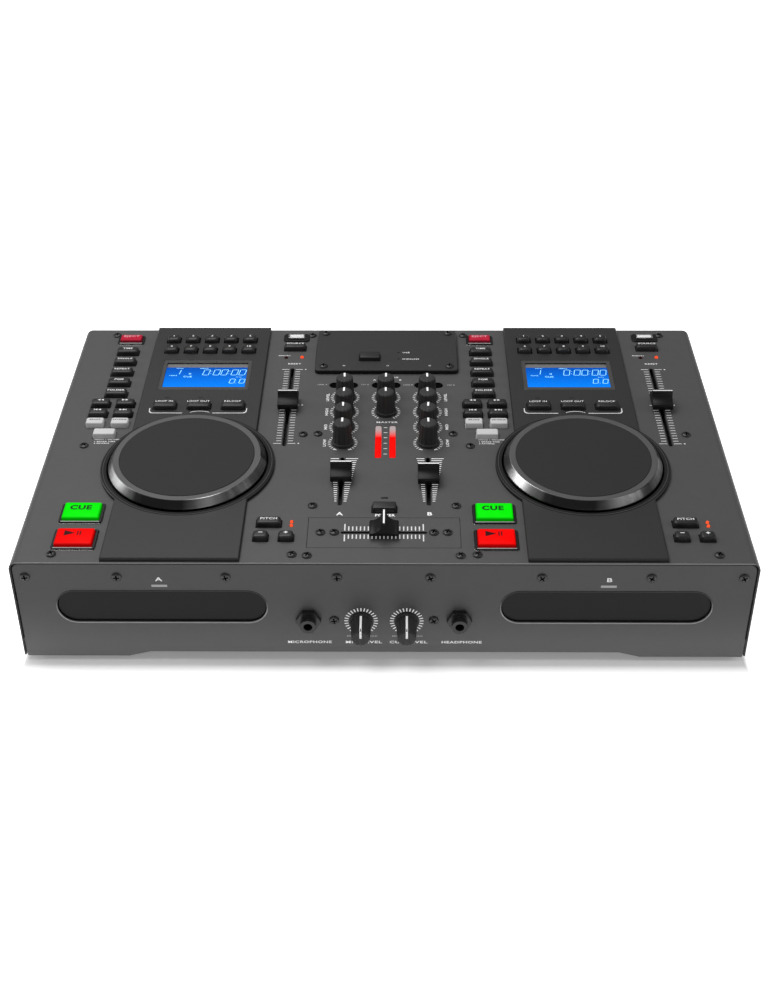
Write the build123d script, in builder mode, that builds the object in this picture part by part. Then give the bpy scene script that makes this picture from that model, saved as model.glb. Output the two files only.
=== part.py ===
# Dual disc player with a built-in two-channel mixer, for disc jockeys.
# Two disc trays in the front panel, two decks with jog wheels, a mixer between them.
#
# Frame: +Z up, +X to the right as the user stands, the user is on the -Y side.
# The origin is on the surface that the console stands on, midway along its whole
# length, from the tips of the front knobs to the tips of the rear sockets.

import os
from math import cos, pi, radians, sin, tan

from build123d import *

os.makedirs("parts", exist_ok=True)

# ---------------------------------------------------------------- casing sizes
body_width = 530.0
body_depth = 320.6
front_height = 87.0  # lower edge of the front panel to the cover's front edge
top_slope = 2.0  # degrees, rising towards the rear
sheet = 1.2  # steel sheet of every casing piece
bend_radius = 6.5  # outside, along both top corners
foot_drop = 4.0  # the feet lift the casing by this much
panel_inset = 0.8  # front and rear panels behind the cover's edge
side_gap = 0.9  # shadow gap between front panel and cover
cover_lift = 1.5  # the cover's sides end this far above the lowest edge
fit = 0.3  # clearance round anything that moves or drops into a hole
share = body_width / 530.0  # places and widths across the console follow its width

# The floor of the casing is pressed down a little along both sides.
step_height = 4.2
step_inner = 172.0 * share  # half widths where the slanted step starts and ends
step_outer = 188.0 * share

# ---------------------------------------------------------------- decks
deck_spacing = 302.13 * share  # between the centre lines of the two decks
deck_panel_width = 98.6 * share
deck_panel_front = 1.5  # shadow gap to the cover's front edge
deck_panel_height = 3.0
well_y = 116.2  # centre of the jog wheel, up the slope
ring_radius = 60.3  # foot of the jog wheel's brushed skirt
skirt_lean = 4.3  # the skirt leans out by this much
ring_flat = 4.6  # width of the flat grey ring
well_gap = 1.5  # from the skirt's foot to the wall of its well
well_wall = 1.5
well_depth = 12.0
well_border = 4.7  # the deck panel reaches this far round the well
ring_flat_radius = ring_radius - skirt_lean
pad_radius = ring_flat_radius - ring_flat  # dark top disc
well_radius = ring_radius + well_gap
bulge_radius = well_radius + well_border

pad_top = 10.2
ring_foot = 4.4
ring_top = 10.0
ring_wall = 2.0
code_radius = pad_radius - 2.4  # outside of the slotted skirt under the wheel
code_wall = 1.6
code_slots = 24
code_slot_height = 6.0
hub_radius = 9.0
spindle_radius = 3.0
spindle_length = 14.0
running = 0.06  # radial clearance of a shaft in its bore

display_y = 243.1
bezel_width = 75.0 * share
bezel_depth = 45.6
glass_thickness = 1.0
view_width = 69.0 * share
view_depth = 38.4

hot_rows = (298.1, 281.1)
hot_pitch = 16.5 * share
hot_columns = 5
hot_width = 12.0 * share
key_depth = 8.7
loop_y = 194.5
loop_pitch = 27.6 * share
loop_width = 19.2 * share
deck_key_top = 7.0

# keys through the cover, left of each deck panel: u is measured from the deck's centre
side_gap_u = 4.4  # the keys' centre line is this far outside the bulge
side_u = -(bulge_radius + side_gap_u) * share
function_rows = (281.8, 265.3, 248.9, 232.5, 216.1)
function_width = 18.9 * share
search_rows = (201.0, 186.7)
search_spread = 20.0 * share
search_width = 15.8 * share
light_y = 172.6
light_spread = 19.8 * share
light_width = 14.4 * share
light_low_y = 157.4
light_low_width = 18.0 * share
cover_key_top = 4.5

pitch_key_u = 67.3 * share
pitch_key_y = 44.6
pitch_key_width = 18.6 * share
bend_key_y = 28.3
bend_key_u = (62.4 * share, 80.7 * share)
bend_key_width = 11.2 * share
source_u = 72.3 * share
source_y = 289.6
source_width = 18.8 * share

# lit keys with a frame
start_u = side_u + 0.3
cue_y = 55.8
play_y = 25.3
start_width = 27.3 * share
start_depth = 18.6
start_top = 4.0
start_rim = 2.1
eject_y = 302.3
eject_width = 18.4 * share
eject_depth = 9.8
eject_top = 3.6
eject_rim = 2.1
frame_height = 1.0

usb_u = 72.6 * share
usb_y = 306.6
usb_width = 13.1
usb_depth = 5.1
usb_shell = 0.5
usb_stand = 1.6
usb_length = 14.0
usb_inside = 12.0
usb_tongue_width = 11.0
usb_tongue = 1.8
usb_frame_width = 22.4
usb_frame_depth = 12.4

top_leds = ((65.2 * share, 274.6), (78.8 * share, 275.2))
pitch_leds = ((83.7 * share, 46.9), (83.7 * share, 42.6))
deck_leds = top_leds + pitch_leds
led_radius = 1.5

pitch_u = 71.8 * share
pitch_y = 200.5
pitch_travel = 50.0  # either way
pitch_spare = 4.8  # the slot goes on past the stem by this much at either end

# ---------------------------------------------------------------- mixer
knob_rows = (212.7, 191.3, 169.8, 147.6)
knob_x = 33.5 * share
selector_y = 231.3
selector_x = 35.2 * share
selector_slot_width = 8.5
selector_travel = 6.0  # either way
selector_spare = 1.5
selector_width = 9.0
selector_depth = 6.6
selector_top = 4.5

meter_x = 5.6 * share
meter_y = 149.1
meter_width = 4.8
meter_length = 43.0

channel_x = 33.0 * share
channel_low = 71.4  # ends of the channel faders' travel
channel_high = 123.4
channel_spare = 2.0
channel_a_rest = 102.3  # where the two channel faders stand
channel_b_rest = 99.8

cross_y = 34.6
cross_travel = 27.0 * share  # either way
cross_spare = 1.7
cross_slot_width = 2.4
cross_plate_width = 110.0 * share
cross_plate_depth = 34.6
cross_screw_x = (36.0 * share, 45.9 * share)

mixer_key_y = 62.2
mixer_key_width = 18.4 * share
mixer_led_y = 76.1
slot_width = 3.5

module_y = 281.6
module_width = 120.6 * share
module_depth = 66.0
module_height = 4.0
module_corner = 4.0
module_screw_inset_x = 7.4
module_screw_inset_y = 6.1
module_key_x = -14.3 * share
module_key_y = 268.4
module_key_width = 17.6 * share
module_key_depth = 10.0
module_key_stand = 3.4
module_seat_x = 24.0  # the plate rests on the cover over this much of its width
module_seat_y = 22.0

# ---------------------------------------------------------------- caps and knobs
cap_length = 21.4  # along its travel
cap_width = 16.2
cap_foot = 3.0
cap_top = 14.9
cap_ridge = 2.6
cap_lip = 3.4
stem_thickness = 1.2
stem_length = 5.0

knob_height = 19.4
knob_stand = 0.6
knob_skirt_radius = 8.5
knob_skirt_height = 2.4
knob_foot_radius = 7.7
knob_tip_radius = 6.7
knob_rib = 0.5
knob_ribs = 14
knob_turn_radius = 3.0
knob_shaft = 7.0

# ---------------------------------------------------------------- boards under the cover
key_travel = 1.0
web_thickness = 1.0
web_gap = 0.3
board = 1.6
key_board_drop = 4.4  # top of the key boards, under the cover's outer face
mixer_board_drop = 9.2
fader_body_width = 9.0
fader_groove = 2.4
fader_groove_depth = 5.4
pot_width = 9.8
pot_top = 2.2

# ---------------------------------------------------------------- front panel
screw_hole = 1.6
flange_screw_z = 73.7
front_screw_x = (33.1 * share, 112.1 * share, 189.5 * share, 254.6 * share)
jack_screw_x = 36.0 * share
jack_screw_z = 34.6
tray_x = 159.6 * share
tray_z = 46.6
tray_slot_height = 28.3
tray_slot_corner = 13.8
jack_x = 54.5 * share
jack_z = 35.6
jack_bore = 3.2
jack_nose_radius = 5.8
jack_nose = 9.6
jack_nut_radius = 9.2
jack_nut = 4.0
jack_depth = 24.0
front_knob_x = 16.5 * share
front_knob_z = 33.4

disc_radius = 60.5
tray_width = 2 * disc_radius + 7.0
tray_length = 2 * disc_radius + 44.0
tray_slot_width = tray_width + 22.8  # the tray's front bar is wider than the tray
tray_thickness = 8.0
tray_face = 6.0
tray_face_gap = 0.6
tray_recess = 1.5
tray_travel = 2 * disc_radius + 14.0
channel_end = 6.0
small_disc_radius = disc_radius - 20.0
disc_step = 2.0
drive_depth = tray_length + 40.0
drive_wall = 7.0

# ---------------------------------------------------------------- rear panel
socket_z = 46.0
socket_blocks = (-64.0 * share, 6.0 * share)
socket_pitch_x = 15.0
socket_pitch_z = 19.0
socket_radius = 4.15
socket_length = 9.0
socket_bore = 1.6
inlet_x = 178.0 * share
inlet_z = 44.0
inlet_width = 27.0
inlet_height = 20.0
inlet_depth = 20.0
inlet_mouth_width = 24.0
inlet_mouth_height = 16.4
inlet_mouth_depth = 16.0
switch_x = 146.0 * share
switch_width = 15.0
switch_height = 21.0
rocker_angle = 10.0
vent_slots = 9
vent_x = 150.0 * share
inlet_border = 6.5  # round the inlet and the switch together

foot_radius = 10.0
foot_x = 226.0 * share
foot_y = (34.0, 288.0)

# ---------------------------------------------------------------- worked-out places
slope = radians(top_slope)
front_reach = knob_stand + knob_height - panel_inset
rear_reach = socket_length + 2.0 - panel_inset
front_y = front_reach - (front_reach + body_depth + rear_reach) / 2
rear_y = front_y + body_depth
top_z = foot_drop + front_height
rear_height = front_height + body_depth * tan(slope)
slope_depth = body_depth / cos(slope)
base_top = foot_drop + step_height + sheet
pitch_slot = 2 * (pitch_travel + pitch_spare) + stem_length
selector_slot = 2 * (selector_travel + selector_spare) + selector_width
channel_y = (channel_low + channel_high) / 2
channel_slot = channel_high - channel_low + stem_length + 2 * channel_spare
cross_slot = 2 * (cross_travel + cross_spare) + stem_length
usb_mouth = frame_height + usb_stand
inner_width = body_width - 2 * sheet
panel_width = inner_width - 2 * side_gap

top_plane = Plane(
    origin=(0, front_y, top_z), x_dir=(1, 0, 0), z_dir=(0, -sin(slope), cos(slope))
)
cross_plane = Plane(
    origin=(0, front_y, top_z), x_dir=(-1, 0, 0), z_dir=(0, cos(slope), sin(slope))
)
front_plane = Plane(origin=(0, front_y, foot_drop), x_dir=(1, 0, 0), z_dir=(0, -1, 0))
rear_plane = Plane(origin=(0, rear_y, foot_drop), x_dir=(-1, 0, 0), z_dir=(0, 1, 0))
front_face = front_plane.offset(-panel_inset)
rear_face = rear_plane.offset(-panel_inset)

decks = {"a": -deck_spacing / 2, "b": deck_spacing / 2}
deck_panel_length = slope_depth - deck_panel_front
well_floor = deck_panel_height - well_depth


def write(builder, name):
    builder.part.label = name
    export_step(builder.part, f"parts/{name}.step")


def rounded_block(plane, places, width, depth, height, corner=0.0, taper=0.0):
    # blocks standing on a plane, with bevelled upright corners
    with BuildSketch(plane) as outline:
        with Locations(*places):
            Rectangle(width, depth)
        if corner:
            chamfer(outline.vertices(), corner)
    extrude(outline.sketch, amount=height, taper=taper)


def posts(plane, places, radius, height):
    with BuildSketch(plane) as rounds:
        with Locations(*places):
            Circle(radius)
    extrude(rounds.sketch, amount=height)


def holes(plane, places, radius, depth):
    with BuildSketch(plane) as rounds:
        with Locations(*places):
            Circle(radius)
    extrude(rounds.sketch, amount=-depth, mode=Mode.SUBTRACT)


def cut_block(plane, places, width, depth, height):
    with BuildSketch(plane) as outline:
        with Locations(*places):
            Rectangle(width, depth)
    extrude(outline.sketch, amount=-height, mode=Mode.SUBTRACT)


# ---------------------------------------------------------------- key layout
def function_keys(deck_x):
    return [(deck_x + side_u, y) for y in function_rows]


def search_keys(deck_x):
    return [
        (deck_x + side_u + side * search_spread / 2, y)
        for y in search_rows
        for side in (-1, 1)
    ]


def light_keys(deck_x):
    return [(deck_x + side_u + side * light_spread / 2, light_y) for side in (-1, 1)]


def bend_keys(deck_x):
    return [(deck_x + u, bend_key_y) for u in bend_key_u]


def cover_keys(deck_x):
    # every rubber key that comes through the cover: places, width
    return [
        (function_keys(deck_x), function_width),
        (search_keys(deck_x), search_width),
        (light_keys(deck_x), light_width),
        ([(deck_x + side_u, light_low_y)], light_low_width),
        ([(deck_x + pitch_key_u, pitch_key_y)], pitch_key_width),
        (bend_keys(deck_x), bend_key_width),
        ([(deck_x + source_u, source_y)], source_width),
    ]


def hot_keys(deck_x):
    middle = (hot_columns - 1) / 2
    return [
        (deck_x + (column - middle) * hot_pitch, y)
        for y in hot_rows
        for column in range(hot_columns)
    ]


def loop_keys(deck_x):
    return [(deck_x + place * loop_pitch, loop_y) for place in (-1, 0, 1)]


def framed_keys(deck_x):
    # lit keys with a frame of their own: place, width, depth, rim
    return {
        "eject": ((deck_x + side_u, eject_y), eject_width, eject_depth, eject_top, eject_rim),
        "cue": ((deck_x + start_u, cue_y), start_width, start_depth, start_top, start_rim),
        "play": ((deck_x + start_u, play_y), start_width, start_depth, start_top, start_rim),
    }


def deck_led_places():
    return [(deck_x + u, y) for deck_x in decks.values() for u, y in deck_leds]


knob_places = {"master_knob": (0.0, knob_rows[0]), "phones_knob": (0.0, knob_rows[1])}
for deck, side in (("a", -1), ("b", 1)):
    for band, row in zip(("gain", "high", "mid", "low"), knob_rows):
        knob_places[f"{band}_knob_{deck}"] = (side * knob_x, row)

selector_places = {
    "selector_a": (-selector_x, selector_y),
    "selector_phones": (0.0, selector_y),
    "selector_b": (selector_x, selector_y),
}
meter_places = [(-meter_x, meter_y), (meter_x, meter_y)]
channel_places = {"a": (-channel_x, channel_a_rest), "b": (channel_x, channel_b_rest)}
side_studs = ((-92.0, 292.0), (-92.0, 205.0), (-92.0, 145.0), (-51.2, 292.0), (-51.2, 214.0))
start_studs = ((-91.5, 12.0), (-91.5, 69.5), (-56.0, 12.0), (-60.0, 69.5))
pitch_studs = ((58.0, 52.5), (58.0, 20.0), (88.5, 52.5), (88.5, 20.0))
source_studs = ((59.0, 281.0), (85.8, 281.0), (59.0, 313.0), (85.8, 313.0))
mixer_studs = ((-52.0, 84.0), (52.0, 84.0), (-54.0, 240.0), (54.0, 240.0))
stud_size = 1.8
board_margin = 2.5  # the boards reach this far past their studs


def spread(places, middle=0.0):
    # places given for the nominal width, moved out or in with the width
    return [(middle + x * share, y) for x, y in places]


def studs(plane, places, height):
    # hexagonal press-in studs
    with BuildSketch(plane) as hexes:
        with Locations(*places):
            RegularPolygon(stud_size, 6)
    extrude(hexes.sketch, amount=height)


def board_round(places):
    # the outline of a board that reaches past every one of these places
    xs = [x for x, _ in places]
    ys = [y for _, y in places]
    with Locations(((min(xs) + max(xs)) / 2, (min(ys) + max(ys)) / 2)):
        Rectangle(
            max(xs) - min(xs) + 2 * board_margin, max(ys) - min(ys) + 2 * board_margin
        )


# ---------------------------------------------------------------- base pan
with BuildPart() as base_chassis:
    with BuildSketch(front_face.offset(-sheet)):
        with BuildLine():
            lower = Polyline(
                (-inner_width / 2, 0),
                (-step_outer, 0),
                (-step_inner, step_height),
                (step_inner, step_height),
                (step_outer, 0),
                (inner_width / 2, 0),
            )
            upper = Polyline(
                (-inner_width / 2, sheet),
                (-step_outer, sheet),
                (-step_inner, step_height + sheet),
                (step_inner, step_height + sheet),
                (step_outer, sheet),
                (inner_width / 2, sheet),
            )
            Line(lower @ 0, upper @ 0)
            Line(lower @ 1, upper @ 1)
        make_face()
    base_length = body_depth - 2 * (panel_inset + sheet)
    extrude(amount=-base_length)
    # upturned flanges: the cover's sides screw to the side ones, the panels to the others
    flange_height = 16.0
    with BuildSketch(Plane.XY.offset(foot_drop)):
        with Locations(
            *[
                (side * (inner_width - sheet) / 2, (front_y + rear_y) / 2)
                for side in (-1, 1)
            ]
        ):
            Rectangle(sheet, base_length)
    extrude(amount=flange_height)
    with BuildSketch(Plane.XY.offset(foot_drop + step_height)):
        with Locations(
            (0, front_y + panel_inset + 1.5 * sheet), (0, rear_y - panel_inset - 1.5 * sheet)
        ):
            Rectangle(2 * step_inner - 10.0, sheet)
    extrude(amount=flange_height)
    # rows of cooling slots under the mains board and both drives
    with BuildSketch(Plane.XY.offset(base_top)):
        with Locations((0, front_y + 215.0)):
            with GridLocations(12.0, 1.0, vent_slots, 1):
                SlotOverall(40.0, 3.5, rotation=90)
    extrude(amount=-2 * sheet, mode=Mode.SUBTRACT)
write(base_chassis, "base_chassis")

# ---------------------------------------------------------------- feet
foot_places = [
    (side * foot_x, front_y + along) for side in (-1, 1) for along in foot_y
]
with BuildPart() as feet:
    with BuildSketch(Plane.XY.offset(foot_drop)):
        with Locations(*foot_places):
            Circle(foot_radius)
    extrude(amount=-foot_drop, taper=10)
    holes(Plane.XY.offset(foot_drop / 2), foot_places, 3.2, foot_drop)
write(feet, "feet")


# ---------------------------------------------------------------- front and rear panels
def panel_outline(height):
    # plate between the cover's sides, following the stepped floor below
    half = panel_width / 2
    with BuildLine() as edge:
        Polyline(
            (-half, 0),
            (-step_outer, 0),
            (-step_inner, step_height),
            (step_inner, step_height),
            (step_outer, 0),
            (half, 0),
            (half, height),
            (-half, height),
            close=True,
        )
    make_face(edge.edges())


front_plate_height = front_height - sheet - side_gap
rear_plate_height = rear_height - sheet - side_gap
front_screws = [(side * x, flange_screw_z) for side in (-1, 1) for x in front_screw_x]
jack_screws = [(-jack_screw_x, jack_screw_z), (jack_screw_x, jack_screw_z)]

with BuildPart() as front_panel:
    with BuildSketch(front_face) as outline:
        panel_outline(front_plate_height)
        fillet(outline.vertices().group_by(Axis.Y)[-1], bend_radius - sheet)
    extrude(amount=-sheet)
    with BuildSketch(front_face):
        with Locations((-tray_x, tray_z), (tray_x, tray_z)):
            RectangleRounded(tray_slot_width, tray_slot_height, tray_slot_corner)
        with Locations((-jack_x, jack_z), (jack_x, jack_z)):
            Circle(jack_nose_radius + fit)
        with Locations((-front_knob_x, front_knob_z), (front_knob_x, front_knob_z)):
            Circle(knob_turn_radius + fit)
    extrude(amount=-sheet, mode=Mode.SUBTRACT)
    holes(front_face, front_screws + jack_screws, screw_hole, sheet)
write(front_panel, "front_panel")

socket_plate_width = 2 * socket_pitch_x
socket_plate_height = 2 * socket_pitch_z
with BuildPart() as rear_panel:
    with BuildSketch(rear_face) as outline:
        panel_outline(rear_plate_height)
        fillet(outline.vertices().group_by(Axis.Y)[-1], bend_radius - sheet)
    extrude(amount=-sheet)
    with BuildSketch(rear_face):
        with Locations(*[(-x, socket_z) for x in socket_blocks]):
            Rectangle(socket_plate_width - 5.0, socket_plate_height - 5.0)
        with Locations((-inlet_x, inlet_z)):
            Rectangle(inlet_width + 2 * fit, inlet_height + 2 * fit)
        with Locations((-switch_x, inlet_z)):
            Rectangle(switch_width + 2 * fit, switch_height + 2 * fit)
        with Locations((vent_x, 52.0)):
            with GridLocations(9.0, 1.0, vent_slots, 1):
                SlotOverall(44.0, 3.5, rotation=90)
    extrude(amount=-sheet, mode=Mode.SUBTRACT)
write(rear_panel, "rear_panel")

# ---------------------------------------------------------------- cover
display_opening = (loop_y - key_depth / 2 - 3.0, hot_rows[0] + key_depth / 2 + 3.0)
opening_width = 2 * (2 * hot_pitch + hot_width / 2 + 3.0)
ledge_inside = 12.0  # how far the ledges reach under the crossfader plate
ledge_outside = 5.0


module_screws = [
    (x, module_y + y)
    for x in (module_screw_inset_x - module_width / 2, module_width / 2 - module_screw_inset_x)
    for y in (module_screw_inset_y - module_depth / 2, module_depth / 2 - module_screw_inset_y)
]
cross_screws = [(side * x, cross_y) for x in cross_screw_x for side in (-1, 1)]


def under(depth):
    # a plane under the cover's outer face
    return top_plane.offset(-depth)


with BuildPart() as top_cover:
    wall_drop = rear_height + 4.0
    with BuildSketch(cross_plane.offset(-8.0)):
        with BuildLine():
            outer = FilletPolyline(
                (-body_width / 2, -wall_drop),
                (-body_width / 2, 0),
                (body_width / 2, 0),
                (body_width / 2, -wall_drop),
                radius=bend_radius,
            )
            inner = FilletPolyline(
                (-inner_width / 2, -wall_drop),
                (-inner_width / 2, -sheet),
                (inner_width / 2, -sheet),
                (inner_width / 2, -wall_drop),
                radius=bend_radius - sheet,
            )
            Line(outer @ 0, inner @ 0)
            Line(outer @ 1, inner @ 1)
        make_face()
    extrude(amount=slope_depth + 16.0)
    split(bisect_by=Plane(origin=(0, front_y, 0), z_dir=(0, 1, 0)), keep=Keep.TOP)
    split(bisect_by=Plane(origin=(0, rear_y, 0), z_dir=(0, -1, 0)), keep=Keep.TOP)
    split(bisect_by=Plane.XY.offset(foot_drop + cover_lift), keep=Keep.TOP)
    # turned-down flanges behind both panels, which take the panel screws
    for face, height in ((front_face, front_height), (rear_face, rear_height)):
        with BuildSketch(face.offset(-sheet)):
            with Locations((0, height - sheet / 2)):
                Rectangle(
                    inner_width - 2 * bend_radius, 20.0, align=(Align.CENTER, Align.MAX)
                )
        extrude(amount=-sheet)
    # ledges under both ends of the crossfader plate
    with BuildSketch(under(sheet)):
        ledge_x = (cross_plate_width - ledge_inside + ledge_outside) / 2
        with Locations((-ledge_x, cross_y), (ledge_x, cross_y)):
            Rectangle(ledge_inside + ledge_outside, cross_plate_depth - 6.0)
    extrude(amount=-sheet)
    # press-in studs that carry the boards
    for deck_x in decks.values():
        key_studs = side_studs + start_studs + pitch_studs + source_studs
        studs(under(sheet), spread(key_studs, deck_x), sheet - key_board_drop)
    studs(under(sheet), spread(mixer_studs), sheet - mixer_board_drop)
    # every opening in the top
    with BuildSketch(top_plane):
        for deck_x in decks.values():
            with Locations((deck_x, well_y)):
                Circle(well_radius + well_wall + fit)
            with Locations((deck_x, sum(display_opening) / 2)):
                Rectangle(opening_width, display_opening[1] - display_opening[0])
            for places, width in cover_keys(deck_x):
                with Locations(*places):
                    Rectangle(width + 2 * fit, key_depth + 2 * fit)
            for place, width, depth, _, rim in framed_keys(deck_x).values():
                with Locations(place):
                    Rectangle(width + rim, depth + rim)
            with Locations((deck_x + usb_u, usb_y)):
                Rectangle(usb_width + 2 * usb_shell + 1.0, usb_depth + 2 * usb_shell + 1.0)
            with Locations((deck_x + pitch_u, pitch_y)):
                SlotOverall(pitch_slot, slot_width, rotation=90)
        with Locations(*deck_led_places()):
            Circle(led_radius + 0.1)
        with Locations(*knob_places.values()):
            Circle(knob_turn_radius + 1.0)
        with Locations(*selector_places.values()):
            SlotOverall(selector_slot, selector_slot_width)
        with Locations(*meter_places):
            Rectangle(meter_width + 0.2, meter_length + 0.2)
        with Locations((-channel_x, channel_y), (channel_x, channel_y)):
            SlotOverall(channel_slot, slot_width, rotation=90)
        with Locations((0, cross_y)):
            Rectangle(cross_plate_width + 2 * fit, cross_plate_depth + 2 * fit)
        with Locations((0, mixer_key_y)):
            Rectangle(mixer_key_width + 2 * fit, key_depth + 2 * fit)
        with Locations((0, mixer_led_y)):
            Rectangle(5.2, 1.8)
        with Locations((0, module_y)):
            Rectangle(module_width - module_seat_x, module_depth - module_seat_y)
    extrude(amount=-sheet, mode=Mode.SUBTRACT)
    holes(front_face.offset(-sheet), front_screws, screw_hole, sheet)
    holes(top_plane, module_screws, screw_hole, sheet)
    holes(under(sheet), cross_screws[2:], screw_hole, sheet)
write(top_cover, "top_cover")


# ---------------------------------------------------------------- deck panels
def make_deck_panel(deck_x):
    with BuildPart() as deck_panel:
        with BuildSketch(top_plane):
            with Locations((deck_x, deck_panel_front)):
                Rectangle(
                    deck_panel_width, deck_panel_length, align=(Align.CENTER, Align.MIN)
                )
            with Locations((deck_x, well_y)):
                Circle(bulge_radius)
        extrude(amount=deck_panel_height)
        rim_edges = deck_panel.faces().sort_by(Axis((0, 0, 0), top_plane.z_dir))[-1]
        chamfer(rim_edges.edges(), 0.7)
        # cup of the jog well, hanging through the cover
        with BuildSketch(top_plane):
            with Locations((deck_x, well_y)):
                Circle(well_radius + well_wall)
        extrude(amount=well_floor - 2.0)
        with BuildSketch(top_plane.offset(deck_panel_height)):
            with Locations((deck_x, well_y)):
                Circle(well_radius)
        extrude(amount=-well_depth, mode=Mode.SUBTRACT)
        # bearing boss under the well's floor
        posts(
            top_plane.offset(well_floor),
            [(deck_x, well_y)],
            spindle_radius + 4.0,
            -spindle_length - 2.0,
        )
        holes(
            top_plane.offset(well_floor + 1.0),
            [(deck_x, well_y)],
            spindle_radius + running,
            spindle_length + 1.5,
        )
        # pocket for the rubber keypad and its board, closed over by the panel's skin
        cut_block(
            top_plane.offset(pocket_roof),
            [(deck_x, sum(display_opening) / 2)],
            opening_width - 2.0,
            display_opening[1] - display_opening[0] - 2.0,
            pocket_roof,
        )
        # window seat and the view through it
        cut_block(
            top_plane.offset(deck_panel_height),
            [(deck_x, display_y)],
            bezel_width + 0.2,
            bezel_depth + 0.2,
            glass_thickness,
        )
        cut_block(
            top_plane.offset(deck_panel_height),
            [(deck_x, display_y)],
            view_width,
            view_depth,
            deck_panel_height,
        )
        with BuildSketch(top_plane.offset(deck_panel_height)):
            with Locations(*hot_keys(deck_x)):
                Rectangle(hot_width + 2 * fit, key_depth + 2 * fit)
            with Locations(*loop_keys(deck_x)):
                Rectangle(loop_width + 2 * fit, key_depth + 2 * fit)
        extrude(amount=-deck_panel_height, mode=Mode.SUBTRACT)
        studs(
            top_plane.offset(pocket_roof),
            [(deck_x + u, y) for u, y in display_studs],
            -display_board_drop - pocket_roof,
        )
    return deck_panel


pocket_roof = 1.2
display_board_drop = 2.2
display_studs = [
    (side * (opening_width / 2 - 2.4), y)
    for side in (-1, 1)
    for y in (display_opening[0] + 3.6, display_y, sum(hot_rows) / 2)
]
for deck, deck_x in decks.items():
    write(make_deck_panel(deck_x), f"deck_panel_{deck}")

# ---------------------------------------------------------------- display glass and modules
with BuildPart() as display_windows:
    rounded_block(
        top_plane.offset(deck_panel_height - glass_thickness),
        [(deck_x, display_y) for deck_x in decks.values()],
        bezel_width,
        bezel_depth,
        glass_thickness - 0.2,
    )
write(display_windows, "display_windows")

display_width = view_width - 1.0
display_depth = view_depth - 1.0
with BuildPart() as displays:
    rounded_block(
        under(display_board_drop),
        [(deck_x, display_y) for deck_x in decks.values()],
        display_width,
        display_depth,
        display_board_drop + 1.5,
    )
write(displays, "displays")


# ---------------------------------------------------------------- jog wheels
def make_jog_wheel(deck_x):
    ring_seat = ring_top - ring_wall
    plate_bottom = ring_seat - 2.2
    skirt_foot = well_floor + 3.6
    with BuildPart() as jog_wheel:
        centre = [(deck_x, well_y)]
        posts(top_plane.offset(ring_seat), centre, pad_radius, pad_top - ring_seat)
        top_face = jog_wheel.faces().sort_by(Axis((0, 0, 0), top_plane.z_dir))[-1]
        chamfer(top_face.edges(), 0.5)
        posts(top_plane.offset(plate_bottom), centre, pad_radius + 2.6, ring_seat - plate_bottom)
        # slotted skirt that the turn sensor reads
        with BuildSketch(top_plane.offset(skirt_foot)):
            with Locations(*centre):
                Circle(code_radius)
                Circle(code_radius - code_wall, mode=Mode.SUBTRACT)
        extrude(amount=plate_bottom - skirt_foot)
        with BuildSketch(top_plane.offset(skirt_foot)):
            with Locations(*centre):
                with PolarLocations(code_radius, code_slots):
                    Rectangle(4 * code_wall, pi * code_radius / code_slots)
        extrude(amount=code_slot_height, mode=Mode.SUBTRACT)
        # hub and spindle
        posts(
            top_plane.offset(well_floor + fit),
            centre,
            hub_radius,
            plate_bottom - well_floor - fit,
        )
        posts(
            top_plane.offset(well_floor - spindle_length),
            centre,
            spindle_radius,
            spindle_length + fit,
        )
    return jog_wheel


def make_jog_ring(deck_x):
    # thin spun ring: flat grey top, brushed cone down to the foot
    slant = (ring_radius - ring_flat_radius) / (ring_top - ring_foot)
    axis_plane = Plane(
        origin=top_plane.from_local_coords((deck_x, well_y, 0)),
        x_dir=(1, 0, 0),
        z_dir=-cross_plane.z_dir,
    )
    with BuildPart() as jog_ring:
        with BuildSketch(axis_plane):
            with BuildLine():
                Polyline(
                    (pad_radius + 0.15, ring_top - ring_wall),
                    (pad_radius + 0.15, ring_top),
                    (ring_flat_radius, ring_top),
                    (ring_radius, ring_foot),
                    (ring_radius, ring_foot - 0.6),
                    (ring_radius - ring_wall, ring_foot - 0.6),
                    (ring_flat_radius - slant, ring_top - ring_wall),
                    close=True,
                )
            make_face()
        revolve(axis=Axis(axis_plane.origin, top_plane.z_dir))
    return jog_ring


for deck, deck_x in decks.items():
    write(make_jog_wheel(deck_x), f"jog_wheel_{deck}")
    write(make_jog_ring(deck_x), f"jog_ring_{deck}")


# ---------------------------------------------------------------- rubber keys
def key_caps(places, width, top, root):
    # a soft key: slightly tapered sides and a bevelled top
    bevel = 0.7
    rounded_block(top_plane.offset(root), places, width, key_depth, top - bevel - root, 0.8)
    rounded_block(
        top_plane.offset(top - bevel), places, width, key_depth, bevel, 0.8, taper=42
    )


def keypad_web(plane, places, width, depth, well_x=None):
    with BuildSketch(plane) as web:
        with Locations(*places):
            Rectangle(width, depth)
        if well_x is not None:
            with Locations((well_x, well_y)):
                Circle(well_radius + well_wall + 1.0, mode=Mode.SUBTRACT)
    extrude(web.sketch, amount=-web_thickness)


web_top = sheet + web_gap


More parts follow.
